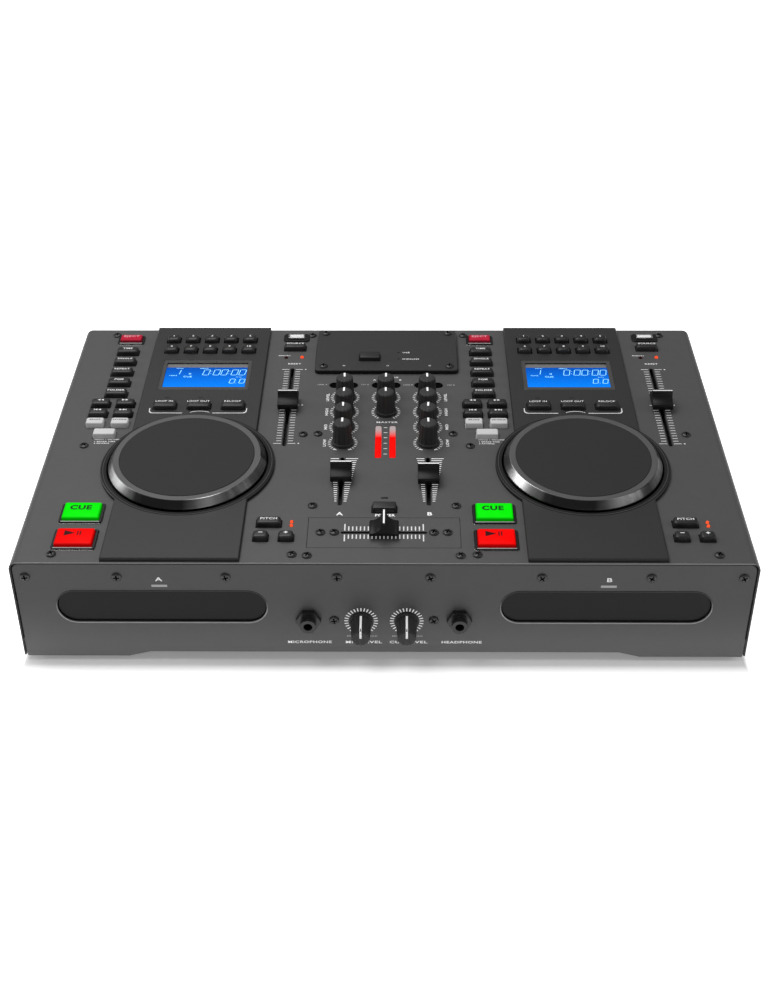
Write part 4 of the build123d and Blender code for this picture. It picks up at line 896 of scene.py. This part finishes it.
def makeFrames():
    parts = []
    for x in deckX.values():
        for key in litKeys.values():
            (w, d, _), (u, y) = key["size"], key["at"]
            place = onTop(x + u, y)
            # a light strip along the front of each frame: a painted highlight that glows a little
            shine = softBlock((w + 1.0, 1.0, 1.5), "frameHighlightStrip", 0.3, 0.2, 0, 2, 0.6)
            parts += [
                (hollowFrame((w + 4.6, d + 4.2), (w + 0.6, d + 0.6), 1.4, "frame", 1.8, 0.5,
                             -1.2), place),
                (hollowFrame((w + 5.0, d + 5.0), (w + 3.8, d + 3.8), 0.3, "nickel", 2.2, 0.1),
                 place),
                (shine, at(place, 0, -d / 2 - 0.95)),
            ]
        parts.append((hollowFrame((22.4, 12.4), (14.3, 6.3), 1.2, "frame", 3.0, 0.4),
                      onTop(x + usb["u"], usb["y"])))
    addPiece("keyFrames", parts, "console", ("panel_frames",), 40)


# the strip's colour: a painted highlight that glows a little
looks["frameHighlightStrip"] = makeInk("paintedFrameHighlight", 176, 0.15)
looks["cueInk"] = makeInk("cueInk", 0, 0.0, shade(0, 84, 10))
looks["playInk"] = makeInk("playInk", 0, 0.0, shade(66, 0, 4))
looks["ejectInk"] = makeInk("ejectInk", 0, 0.0, shade(238, 176, 186))
usb = {"u": 72.6, "y": 306.6, "width": 13.1, "depth": 5.1, "shell": 0.5, "top": 2.6}
for deck in deckX:
    for name in litKeys:
        makeLitKey(name, deck)
makeFrames()
print("lit keys and frames made")

# ---- knobs
knob = {"stand": 0.6, "skirtRadius": 8.5, "skirtHeight": 2.4, "height": 19.4, "tipRadius": 6.7,
        "footRadius": 7.7, "lineWidth": 1.5}
knobRows, knobX = (212.7, 191.3, 169.8, 147.6), 33.5


def makeKnobMesh():
    foot, top = knob["stand"], knob["stand"] + knob["height"]
    gripFoot = foot + knob["skirtHeight"]
    r = knob["skirtRadius"]
    skirt = lathe([(0, foot), (r - 0.3, foot), (r, foot + 0.3), (r, gripFoot - 0.5),
                   (r - 0.5, gripFoot), (0, gripFoot)], "knob", 64)
    shaft = lathe([(0, -6.0), (3.0, -6.0), (3.0, foot), (0, foot)], "nickel", 24)
    body = grip.grow("grip", looks["knob"], {
        "Height": top - gripFoot, "Foot Radius": knob["footRadius"],
        "Tip Radius": knob["tipRadius"]})
    half, reach = knob["lineWidth"] / 2, knob["tipRadius"]
    work = bmesh.new()
    # the white line: over the top from the middle, round the rim and down the rear side
    path = [(0.6, top + 0.05), (reach - 1.1, top + 0.05), (reach - 0.25, top - 0.4),
            (reach + 0.06, top - 1.4), (knob["footRadius"] + 0.08, gripFoot + 0.4)]
    loops = [[work.verts.new((side * half, y - sunk, z - sunk))
              for side, sunk in ((-1, 0.0), (1, 0.0), (1, 0.4), (-1, 0.4))] for y, z in path]
    for end in (loops[0], loops[-1]):
        work.faces.new(end)
    stitch(work, loops, False)
    line = toMesh(work, "white")
    return joined("knob", [(skirt, here), (shaft, here), (body, at(here, 0, 0, gripFoot)),
                           (line, here)])


knobMesh = makeKnobMesh()
knobPlaces = {"master_knob": (0, knobRows[0]), "phones_knob": (0, knobRows[1])}
for deck, side in (("a", -1), ("b", 1)):
    for band, row in zip(("gain", "high", "mid", "low"), knobRows):
        knobPlaces[f"{band}_knob_{deck}"] = (side * knobX, row)
pointing = {"gain_knob_a": -2, "high_knob_a": 1, "mid_knob_a": 0, "low_knob_a": 1,
            "gain_knob_b": 0, "high_knob_b": -2, "mid_knob_b": 3, "low_knob_b": -2}
for node, (x, y) in knobPlaces.items():
    addPiece(node.replace("_knob", "Knob"), [(knobMesh, onTop(x, y, 0, -pointing.get(node, 0)))],
             node.replace("_knob", "_control"), (node,), 40)
for node, x in (("mic_knob", -16.5), ("cue_knob", 16.5)):
    addPiece(node.replace("_knob", "Knob"), [(knobMesh, onFront(x, 33.4))],
             node.replace("_knob", "_control"), (node,), 40)
print("knobs made")

# ---- fader caps
cap = {"length": 21.4, "width": 16.2, "foot": 3.0, "top": 14.9, "ridge": 2.6, "lip": 5.0,
       "line": 1.2}


def makeCap(lineLook, lip=cap["lip"]):
    half, foot, top = cap["length"] / 2, cap["foot"], cap["top"]
    ridge, low = cap["ridge"] / 2 + 0.4, foot + lip
    # half of the side view: the lip, the hollow as a quarter of an ellipse, the ridge
    profile = [(half - 0.35, foot), (half, foot + 0.5), (half - 0.1, low - 0.9),
               (half - 0.5, low - 0.25)]
    for step in range(12, -1, -1):
        angle = step / 12 * pi / 2
        profile.append((ridge + (half - 1.0 - ridge) * (1 - cos(angle)),
                        top - 1.3 - (top - 1.3 - low) * sin(angle)))
    profile += [(cap["ridge"] / 2 + 0.12, top - 0.35), (cap["ridge"] / 2 - 0.3, top)]
    profile += [(-y, z) for y, z in reversed(profile)]
    work = bmesh.new()
    ends = [[work.verts.new((s * cap["width"] / 2, y, z)) for y, z in profile] for s in (-1, 1)]
    sides = [work.faces.new(end) for end in ends]
    stitch(work, ends, False)
    bmesh.ops.bevel(work, geom=[e for f in sides for e in f.edges], offset=0.5, segments=2,
                    profile=0.5, affect="EDGES")
    body = toMesh(work, "cap")
    stem = softBlock((1.2, 5.0, foot + 0.5), "nickel", 0.0, 0.0, 0, 1, -6.0)
    line = softBlock((cap["width"] - 0.5, cap["line"], top + 0.06), lineLook,
                     0.0, 0.0, 0, 1, top - 0.3)
    return joined("faderCap", [(mesh, here) for mesh in (body, stem, line)])


capMesh = makeCap("white")
pitchCap = makeCap("soft")
for deck, x in deckX.items():
    addPiece(f"pitchCap_{deck}", [(pitchCap, onTop(x + 71.8, 200.5))], f"pitch_{deck}",
             (f"pitch_fader_{deck}",), 35)
for deck, x, y in (("a", -33.0, 102.3), ("b", 33.0, 99.8)):
    addPiece(f"channelCap_{deck}", [(capMesh, onTop(x, y))], f"channel_{deck}",
             (f"channel_fader_{deck}",), 35)
addPiece("crossCap", [(makeCap("white", 2.4), onTop(0, 34.6, 0, -90))], "cross",
         ("crossfader",), 35)
for name, x in (("a", -35.2), ("phones", 0.0), ("b", 35.2)):
    tip = softBlock((9.0, 6.6, 4.5), "cap", 1.4, 0.9, 0.04, 4, -1.0)
    stem = softBlock((5.0, 2.4, 0.0), "black", 0.0, 0.0, 0, 1, -5.0)
    addPiece(f"sourceTip_{name}", [(tip, onTop(x, 231.3)), (stem, onTop(x, 231.3))],
             f"source_{name}", (f"selector_{name}",), 35)
# a near-black ring round each selector slot and a dark floor inside it: painted shade
shadeMesh = hollowFrame((23.0, 7.6), (20.4, 5.0), 0.25, "paintedShade", 3.8, 0.1)
slotFloorShade = softBlock((21.6, 7.4, 0.0), "paintedShade", 3.6, 0, 0, 4, -0.6)
addPiece("selectorShades", [(mesh, onTop(x, 231.3, z)) for x in (-35.2, 0.0, 35.2)
                            for mesh, z in ((shadeMesh, 0.0), (slotFloorShade, -0.35))],
         "console", (), 40)
print("caps made")

# ---- displays: blue field, unlit strip along the rear, slanted digits
lcd = {"y": 243.1, "width": 68.6, "depth": 38.0, "top": 1.5, "stripFrom": 256.5,
       "fieldFrom": 226.0, "slant": 0.16}


def makeDisplayBlue():
    paint = Paint("displayBlue")
    y = paint.axes()[1]
    scan = paint.grain(900, 1.0, (1, 3, 1))
    low = (coverLow.y + lcd["fieldFrom"] * 0.001)
    along = (y - low) / 0.03
    colour = paint.blend(along, shade(0, 128, 250), shade(0, 74, 180))
    colour = paint.blend(scan * 0.1, colour, shade(20, 150, 255))
    return paint.finish({"Base Color": paint.blend(0.75, colour, shade(0)),
                         "Emission Color": colour, "Roughness": scan * 0.1 + 0.3,
                         "Emission Strength": 0.96, "Specular IOR Level": 0.04})


def digits(text, x, y, height, width, gap, stroke=0.62):
    # seven-segment characters as slanted bars, from left to right
    lit = {"0": "abcdef", "1": "bc", "2": "abged", "3": "abgcd", "4": "fgbc", "5": "afgcd",
           "6": "afgedc", "7": "abc", "8": "abcdefg", "9": "abfgcd"}
    h = height / 2
    places = {"a": (0, h, 1, h), "b": (1, 0, 1, h), "c": (1, -h, 1, 0), "d": (0, -h, 1, -h),
              "e": (0, -h, 0, 0), "f": (0, 0, 0, h), "g": (0, 0, 1, 0)}
    # s is half a bar's width, cut the gap between the ends of two bars
    shapes, s, cut = [], stroke / 2, 0.14
    for sign in text:
        if sign in ":.":
            for level in ((-0.45 * h, 0.45 * h) if sign == ":" else (-h + s,)):
                shapes.append(bar(x - s, level - s, x + s, level + s))
            x += gap + stroke
            continue
        for name in lit[sign]:
            x0, y0, x1, y1 = places[name]
            if y0 == y1:
                shapes.append(bar(x + cut + s, y0 - s, x + width - cut - s, y0 + s))
            else:
                shapes.append(bar(x + x0 * width - s, y0 + cut, x + x0 * width + s, y1 - cut))
        x += width + gap
    return [[(px + lcd["slant"] * py, y + py) for px, py in shape] for shape in shapes]


def makeDisplay():
    parts = []
    top, split, rear = lcd["top"], lcd["stripFrom"], lcd["y"] + lcd["depth"] / 2
    for x in deckX.values():
        for look, low, high in (("lcdBlue", lcd["fieldFrom"], split), ("lcdStrip", split, rear)):
            parts.append((softBlock((lcd["width"], high - low, top), look, 0, 0, 0, 1, -2.0),
                          onTop(x, (low + high) / 2)))
        signs = digits("0:00:00", -2.4, 248.7, 8.2, 4.9, 1.6, 0.55)
        signs += digits("0.0", 20.8, 235.2, 6.4, 4.1, 1.75, 0.55)
        signs += digits("1", -24.6, 249.2, 6.8, 2.6, 1.6, 0.6)
        parts.append((flat(signs, "segment"), onTop(x, 0, top + 0.05)))
        parts += words(topPlace, top + 0.05, [
            (label, size, "segment", 1.2, x + u, y) for label, u, y, size in (
                ("CUE", -15.2, 242.0, 2.1), ("II", -13.6, 246.4, 2.2),
                ("TRACK", -27.4, 243.8, 1.2), ("TOTAL", -23.0, 254.9, 1.1),
                ("REMAIN", -2.6, 254.9, 1.1), ("PITCH", 27.8, 241.4, 0.9))])
    addPiece("displayFields", parts, "console", ("displays",))


def makeWindowGlass():
    paint = Paint("windowPane")
    haze = paint.grain(40, 1.0)
    return paint.finish({"Base Color": paint.blend(haze, shade(24), shade(34)),
                         "Roughness": haze * 0.02 + 0.04, "Alpha": haze * 0.01 + 0.02,
                         "Specular IOR Level": 0.2})


def corners(work, rings):
    # rectangles of (half width, half depth, height)
    return [[work.verts.new((sx * w, sy * d, z)) for sx, sy in
             ((-1, -1), (1, -1), (1, 1), (-1, 1))] for w, d, z in rings]


def makeWindows():
    # printed border round a clear pane, let into the deck panel
    parts = []
    outer, inner = (75.0, 45.6), (68.4, 37.8)
    (a, b), (c, d) = ((w / 2, h / 2) for w, h in (outer, inner))
    rim = hollowFrame(outer, (outer[0] - 1.5, outer[1] - 1.5), 2.95, "bezel", 2.4, 0.1, 2.0)
    for x in deckX.values():
        work = bmesh.new()
        stitch(work, corners(work, ((a, b, 2.0), (a, b, 2.8), (c, d, 2.8), (c, d, 2.0))))
        pane = softBlock((inner[0] - 0.1, inner[1] - 0.1, 2.7), "pane", 0, 0, 0, 1, 2.1)
        parts += [(mesh, onTop(x, lcd["y"])) for mesh in (toMesh(work, "bezel"), rim, pane)]
    addPiece("displayPanes", parts, "console", ("display_windows",))


looks["lcdBlue"] = makeDisplayBlue()
looks["lcdStrip"] = makePlastic("displayStrip", 128, 0.3, 900, 0.00001)
looks["bezel"] = makePlastic("windowBorder", 72, 0.28, 900, 0.00001)
looks["pane"] = makeWindowGlass()
makeDisplay()
makeWindows()
print("displays made")

# ---- lamps and level meters
meter = {"x": 5.6, "y": 149.1, "width": 4.8, "length": 43.0, "pale": 27.0}


def makeMeterLens():
    # lit red from the front, fading to clear plastic near the rear end; faint segments
    paint = Paint("meterLens")
    y = paint.axes()[1]
    low = (topPlace @ Vector((0, meter["y"] - meter["length"] / 2, 0))).y
    along = (y - low) * 1000
    fade = ((along - meter["pale"]) / 11.0).clamp()
    steps = along.maths("SINE", along * (2 * pi / 3.58))
    red = paint.blend((steps + 1.0) * 0.12, shade(255, 10, 4), shade(226, 0, 0))
    colour = paint.blend(fade, red, shade(176, 160, 160))
    return paint.finish({"Base Color": paint.blend(0.6, colour, shade(0)), "Emission Color": colour,
                         "Emission Strength": 0.8, "Roughness": steps * 0.03 + 0.24,
                         "Specular IOR Level": 0.05})


looks["meter"] = makeMeterLens()


def makeLamps():
    parts = []
    for side in (-1, 1):
        lens = softBlock((meter["width"], meter["length"], 0.4), "meter", 1.6, 0.25, 0, 4, -6.0)
        parts.append((lens, onTop(side * meter["x"], meter["y"])))
    dome = {}
    for look, r in (("ledRed", 1.45), ("ledOrange", 1.2), ("ledOff", 1.45)):
        dome[look] = lathe([(0, -3.0), (r, -3.0), (r, 0.2), (r * 0.9, 0.75), (r * 0.62, 1.15),
                            (r * 0.28, 1.35), (0, 1.4)], look, 20)
    for x in deckX.values():
        parts += [(dome[look], onTop(x + u, y)) for look, u, y in (
            ("ledOff", 65.2, 274.6), ("ledRed", 78.8, 275.2), ("ledOrange", 83.7, 46.9),
            ("ledOrange", 83.7, 42.6))]
    parts.append((softBlock((5.0, 1.6, 0.3), "frame", 0.4, 0.1, 0, 2, -3.0), onTop(0, 76.1)))
    addPiece("lampSet", parts, "console", ("lamps",), 40)


makeLamps()
print("lamps made")

# ---- memory-stick sockets
def makeSockets():
    # a shell round the opening, with the tongue in it
    parts = []
    w, d, s, top, foot = usb["width"] / 2, usb["depth"] / 2, usb["shell"], usb["top"], -11.0
    for x in deckX.values():
        work = bmesh.new()
        loops = corners(work, ((w, d, foot + 2), (w, d, top), (w + s, d + s, top),
                               (w + s, d + s, foot)))
        for end in (loops[0], loops[-1]):
            work.faces.new(end)
        stitch(work, loops, False)
        rims = [e for e in work.edges if all(abs(v.co.z - top) < 1e-6 for v in e.verts)]
        bmesh.ops.bevel(work, geom=rims, offset=0.15, segments=2, profile=0.5, affect="EDGES")
        parts.append((toMesh(work, "steel"), onTop(x + usb["u"], usb["y"])))
        tongue = softBlock((11.6, 2.4, 2.2), "tongue", 0.1, 0.2, 0, 2, -8.9)
        parts.append((tongue, onTop(x + usb["u"], usb["y"] + 0.9)))
    addPiece("stickSockets", parts, "console", ("usb_sockets",), 35)


# the white tongue glows a little: painted light
looks["tongue"] = makeInk("socketTongue", 240, 0.3)
makeSockets()

# ---- screws: pan heads with a cross recess
screw = {"radius": 3.6, "height": 1.7, "recess": 1.9, "slot": 1.15, "deep": 1.3}


def makeScrewHead():
    r, h = screw["radius"], screw["height"]
    head = lathe([(0, 0), (r - 0.1, 0), (r, 0.2), (r, 0.5), (r * 0.96, 0.8), (r * 0.82, 1.2),
                  (r * 0.55, h - 0.12), (r * 0.25, h), (0, h)], "screw", 28)
    holder = linked("head", head)
    tools = []
    for turn in (0, 90):
        cutter = softBlock((2 * screw["recess"] + 0.6, screw["slot"], h + 1), "paintedShade", 0, 0, 0, 1,
                           h - screw["deep"])
        cutter.transform(Matrix.Rotation(radians(turn), 4, "Z"))
        tools.append(linked("cut", cutter))
        modifier = holder.modifiers.new("recess", "BOOLEAN")
        modifier.operation, modifier.solver, modifier.object = "DIFFERENCE", "EXACT", tools[-1]
    mesh = repaint(evaluated(holder), "screw")
    for tool in (holder, *tools):
        bpy.data.objects.remove(tool)
    return mesh


screwHead = makeScrewHead()
reach, half = screw["recess"] + 0.3, screw["slot"] / 2
# dark crosses on the recess floors: painted shade
screwCross = flat([bar(-reach, -half, reach, half), bar(-half, half, half, reach),
                   bar(-half, -reach, half, -half)], "paintedShade")


def screwSet(places, lift, seed):
    # heads and painted shade on the floors of their recesses, turned alike
    floor = lift + screw["height"] - screw["deep"] + 0.08
    return [onPoints("heads", screwHead, places, 6.28, lift, seed),
            onPoints("crosses", screwCross, places, 6.28, floor, seed)]


mixerScrews = [(s * x, y) for s in (-1, 1) for x, y in ((53.1, 66.3), (54.4, 8.3), (53.4, 160.0))]
deckScrews = [(-235.8, 311.5), (-65.1, 311.5), (-235.8, 143.3), (-65.1, 159.2), (-235.8, 9.3),
              (-65.1, 9.3), (66.4, 311.5), (237.0, 311.5), (66.4, 143.3), (237.0, 159.2),
              (66.4, 9.3), (237.0, 9.3)]
plateScrews = [(s * x, 34.6) for s in (-1, 1) for x in (36.0, 45.9)]
moduleScrews = [(s * 52.9, 281.6 + t * 26.9) for s in (-1, 1) for t in (-1, 1)]
frontScrews = [(s * x, 73.7) for s in (-1, 1) for x in (254.6, 189.5, 112.1, 33.1)]
frontScrews += [(-36.0, 34.6), (36.0, 34.6)]
rearScrews = [(x, 82.0) for x in (-250, -150, -50, 50, 150, 250)]
for name, places, lift, seed, place in (
        ("coverScrews", mixerScrews + deckScrews + plateScrews, 0.0, 3, topPlace),
        ("moduleScrews", moduleScrews, plateTop, 9, topPlace),
        ("frontScrews", frontScrews, 0.0, 5, frontPlace),
        ("rearScrews", rearScrews, 0.0, 7, rearPlace)):
    addPiece(name, [(mesh, place) for mesh in screwSet(places, lift, seed)], "console",
             (), 40)
print("screws made")

# ---- rounded rims round the tray slots
slotRim = {"x": 159.6, "z": 46.6, "across": 61.6, "up": 0.35, "radius": 13.8, "width": 0.9,
           "lift": 0.45}


def makeSlotEdge():
    # the slot's edge catches the light below and lies in its own shadow above
    paint = Paint("slotEdge")
    fine = paint.grain(2600, 1.0)
    z = paint.axes()[2]
    rise = ((z - (footDrop + (slotRim["z"] - 6.0) * 0.001)) / 0.012).clamp()
    colour = paint.blend(rise, shade(188), shade(34))
    return paint.finish({"Base Color": colour, "Roughness": fine * 0.1 + 0.4})


def makeSlotRim():
    # a half-round bead along the slot's outline
    work = bmesh.new()
    stitch(work, [
        roundLoop(work, slotRim["across"], slotRim["up"],
                  slotRim["radius"] + slotRim["width"] * out, slotRim["lift"] * lift, 12)
        for out, lift in ((0.0, 0.0), (0.12, 0.7), (0.5, 1.0), (0.88, 0.7), (1.0, 0.0))])
    return toMesh(work, "slotEdge")


looks["slotEdge"] = makeSlotEdge()
rimMesh = makeSlotRim()
addPiece("slotRims", [(rimMesh, onFront(side * slotRim["x"], slotRim["z"]))
                      for side in (-1, 1)], "console", (), 40)

# ---- printed marks
printLift = 0.05


def ticks(place, look, x, y, count, step, length, width, side, every, by, narrow, turn=0):
    row = tickRow.grow("ticks", looks[look], {
        "Count": count, "Step": step, "Length": length, "Width": width, "Side": side,
        "Long Every": every, "Long By": by, "Narrow To": narrow})
    return row, at(place, x, y, printLift, turn)


def knobTicks(place, look, x, y, sweep, radius, length, width):
    ring = tickRing.grow("knobTicks", looks[look], {
        "Count": 23, "Sweep": sweep, "Radius": radius, "Length": length, "Width": width})
    return ring, at(place, x, y, printLift)


def printTop():
    parts, z = [], printLift
    dots = flat([bar(-0.6, y - 0.6, 0.6, y + 0.6) for y in (255.9, 201.5, 146.8)], "soft")
    scale = [bar(-1.4, y - 0.35, 1.4, y + 0.35) for y in (168.9, 161.9, 154.8, 147.2, 139.8, 132.6)]
    wedges = flat([[(-7.6, -8.6), (-4.6, -8.6), (-4.6, -9.9)],
                   [(4.6, -9.9), (4.6, -8.6), (7.6, -8.6)]], "soft")
    rows = [("A", 3.8, "white", 1.3, -32.8, 56.6, 0.035),
            ("B", 3.8, "white", 1.3, 33.2, 56.6, 0.035),
            ("MASTER", 2.1, "soft", 1.5, 1.0, 176.4),
            ("POWER", 2.7, "white", 1.05, 0.4, 54.9, 0.05)]
    rows += [(label, 1.4, "grey", 1.3, x, y) for label, x, y in (
        ("LINE A", -53.0, 232.1), ("CD A", -17.6, 232.2), ("LINE B", 18.2, 231.8),
        ("CD B", 53.6, 231.6))]
    rows += [(label, 1.9, "soft", 1.3, x, y) for label, x, y in (
        ("A", -9.8, 239.4), ("MIX", 7.0, 243.2), ("B", 11.6, 239.2))]
    for x in deckX.values():
        rows += [("RESET", 2.0, "soft", 1.4, x + 73.0, 264.8),
                 ("MEMORY", 1.3, "soft", 1.3, x + 63.6, 278.0)]
        parts += [ticks(topPlace, "soft", x + 71.8 + side * 2.7, 146.8, 31, 109.1 / 30, 4.0, 0.6,
                        float(side), 15, 1.5, 1.0) for side in (-1, 1)]
        parts.append((dots, onTop(x + 82.9, 0, z)))
        for line, u, y in (("HOLD 1 SECOND", -77.9, 151.9), ("1 BRAKE TIME", -78.0, 149.1),
                           ("2 REVERSE", -77.8, 146.6)):
            parts.append((lettering(line, 1.3, "soft", 1.35, 0.04, "LEFT"), onTop(x + u, y, z)))
    for side in (-1, 1):
        for edge, long, narrow in ((-1, 5.6, 0.28), (1, 8.6, 0.24)):
            parts.append(ticks(topPlace, "fine", side * 33.0 + edge * 2.7, 126.4, 22, -2.58, long,
                               0.6, float(edge), 50, 1.1, narrow))
        parts.append((wedges, onTop(side * knobX, knobRows[3], z)))
        rows += [(label, 2.3, "soft", 1.25, side * 48.2 + 0.6, row, 0.05, 90)
                 for label, row in zip(("LEVEL", "HIGH", "MID", "LOW"), knobRows)]
    parts += [knobTicks(topPlace, "soft", x, row, 284.0, 10.7, 2.1, 0.72)
              for x in (-knobX, 0, knobX) for row in (knobRows if x else knobRows[:2])]
    parts += [ticks(topPlace, "soft", 28.4, y, 21, 2.84, 4.8, 0.9, way, 20, 1.6, 1.0, 90)
              for y, way in ((36.9, 1.0), (32.2, -1.0))]
    parts.append((flat(scale, "soft"), onTop(0, 0, z)))
    return parts + words(topPlace, z, rows)


def printDecks():
    parts = []
    for x in deckX.values():
        z = well["height"] + printLift
        for u in (-27.6, 0.0):
            parts.append((flat([bar(-1.9, -0.4, 1.9, 0.4)], "dark"), onTop(x + u, 207.6, z)))
        for side, outer, inner in ((-1, -39.9, -12.7), (1, 39.1, 11.5)):
            curve = [(outer, 192.2), (outer, 188.0)]
            for step in range(1, 6):
                a = step * pi / 12
                curve.append((outer - side * 3.2 * (1 - cos(a)), 188.0 - 3.2 * sin(a)))
            curve += [(outer - side * 3.2, 184.8), (inner, 184.8)]
            width = 0.45
            back = [(px - side * width * 1.6, py + width * 1.6) for px, py in reversed(curve)]
            back[0] = (inner, 184.8 + width * 1.6)
            back[-1] = (outer - side * width * 1.6, 192.2)
            strips = [[curve[i], curve[i + 1], back[-i - 2], back[-i - 1]]
                      for i in range(len(curve) - 1)]
            parts.append((flat(strips, "soft"), onTop(x, 0, z)))
        rise = [(8.2 * cos(radians(a)), 184.6 + 3.0 * sin(radians(a))) for a in range(20, 161, 10)]
        strips = [[(u0, v0), (u1, v1), (u1, v1 + 0.6), (u0, v0 + 0.6)]
                  for (u0, v0), (u1, v1) in zip(rise, rise[1:])]
        parts.append((flat(strips, "soft"), onTop(x + 1.3, 0, z)))
    return parts


def printFront():
    parts = []
    rows = [("MICROPHONE", 2.3, "white", 1.44, -54.4, 13.6, 0.04),
            ("MIC LEVEL", 2.3, "white", 1.66, -14.9, 13.6, 0.04),
            ("CUE LEVEL", 2.3, "white", 1.66, 17.8, 13.6, 0.04),
            ("HEADPHONE", 2.3, "white", 1.44, 56.6, 13.6, 0.04)]
    for letter, x, knobAt in (("A", -159.8, -16.5), ("B", 159.8, 16.5)):
        rows += [(letter, 3.6, "white", 1.5, x, 71.5, 0.02),
                 ("MIN", 1.6, "grey", 1.3, knobAt - 7.9, 19.4),
                 ("MAX", 1.6, "grey", 1.3, knobAt + 8.4, 19.4)]
        parts += [(flat([bar(-5.6, -1.0, 5.6, 1.0)], "grey"), onFront(x, 65.8, printLift)),
                  knobTicks(frontPlace, "white", knobAt, 33.4, 276.0, 10.8, 2.9, 0.85)]
    return parts + words(frontPlace, printLift, rows)


addPiece("topPrint", printTop(), "console")
addPiece("deckPrint", printDecks(), "console")
addPiece("frontPrint", printFront(), "console")
modulePrint = words(topPlace, plateTop + printLift, [
    ("USB", 1.7, "soft", 1.4, 16.6, 276.6), ("WIRELESS", 1.7, "soft", 1.3, 20.4, 266.0),
    *(("o", 2.6, "grey", 1.1, x, 255.8, 0.05) for x in (-35.8, 1.0, 36.4))])
holes = [bar(9.2, 276.2, 11.0, 277.6), bar(9.2, 265.6, 11.0, 267.0)]
modulePrint.append((flat(holes, "dark"), onTop(0, 0, plateTop + printLift)))
addPiece("modulePrint", modulePrint, "console")
print("print made")

# ---- room, light and camera
room = {"floor": 12.0, "worldLight": 0.22, "overhead": 17.0, "right": 2.8, "left": 3.8,
        "front": 1.1}


def makeFloor():
    paint = Paint("studioFloor")
    view = paint.node("ShaderNodeLightPath")
    seen = view.maths("MAXIMUM", view.other("Is Camera Ray"), view.other("Is Glossy Ray"))
    cloud = paint.grain(3.0, 2.0)
    x, y, z = paint.axes()
    # a soft shadow under the front edge, short at the sides
    side, front = ((axis.maths("ABSOLUTE", axis) - edge) / fade for axis, edge, fade in
                   ((x, cadBox[1][0], 0.005), (y, cadBox[1][1] - 0.015, 0.024)))
    away = side.maths("MAXIMUM", side, front).clamp()
    away = away * (2.0 - away)
    paint.finish({"Base Color": paint.blend(cloud, shade(246), shade(250)), "Roughness": 0.9,
                  "Emission Color": paint.blend(away, shade(116), shade(255)),
                  "Emission Strength": seen * 1.0})
    half = room["floor"] / 2
    mesh = bpy.data.meshes.new("floor")
    mesh.from_pydata([(-half, -half, 0), (half, -half, 0), (half, half, 0), (-half, half, 0)],
                     [], [(0, 1, 2, 3)])
    mesh.materials.append(paint.material)
    linked("floor", mesh)


def makeWorld():
    world = bpy.data.worlds.new("studio")
    world.use_nodes = True
    graph = Graph()
    graph.tree = world.node_tree
    graph.tree.nodes.clear()
    path = graph.node("ShaderNodeLightPath")
    seen = path.maths("MAXIMUM", path.other("Is Camera Ray"), path.other("Is Transmission Ray"))
    strength = seen * (1.0 - room["worldLight"]) + room["worldLight"]
    sky = graph.node("ShaderNodeBackground", {}, {"Color": shade(255), "Strength": strength})
    graph.node("ShaderNodeOutputWorld", {}, {"Surface": sky})
    scene.world = world


def addLamp(name, place, aim, size, power):
    light = bpy.data.lights.new(name, "AREA")
    light.shape = "RECTANGLE"
    light.size, light.size_y = size
    light.energy = power
    lamp = linked(name, light)
    lamp.location = place
    lamp.rotation_euler = (Vector(aim) - Vector(place)).to_track_quat("-Z", "Y").to_euler()


def makeCamera():
    # where the photograph was taken from
    view = {"place": (0.011117, -0.959127, 0.710379), "down": 35.122, "yaw": -0.678,
            "roll": -0.307, "lens": 51.973}
    down, yaw, roll = (radians(view[key]) for key in ("down", "yaw", "roll"))
    ahead = Vector((sin(yaw) * cos(down), cos(yaw) * cos(down), -sin(down)))
    level = Vector((cos(yaw), -sin(yaw), 0))
    up = level.cross(ahead)
    right = cos(roll) * level + sin(roll) * up
    top = -sin(roll) * level + cos(roll) * up
    lens = bpy.data.cameras.new("camera")
    lens.lens, lens.sensor_width = view["lens"], 36.0
    camera = linked("camera", lens)
    camera.matrix_world = Matrix((
        (right.x, top.x, -ahead.x, view["place"][0]),
        (right.y, top.y, -ahead.y, view["place"][1]),
        (right.z, top.z, -ahead.z, view["place"][2]),
        (0, 0, 0, 1),
    ))
    scene.camera = camera


makeFloor()
makeWorld()
addLamp("overhead", (-0.45, 0.28, 1.45), (0, 0, 0), (1.6, 1.0), room["overhead"])
addLamp("right", (1.3, -0.25, 0.7), (0, 0, 0.05), (0.35, 0.6), room["right"])
addLamp("left", (-1.5, 0.35, 0.55), (0, 0, 0.05), (0.7, 0.5), room["left"])
addLamp("front", (0.0, -1.7, 0.25), (0, 0, 0.05), (1.6, 0.4), room["front"])
makeCamera()
scene.view_settings.view_transform = "Standard"
print("room, light and camera made")
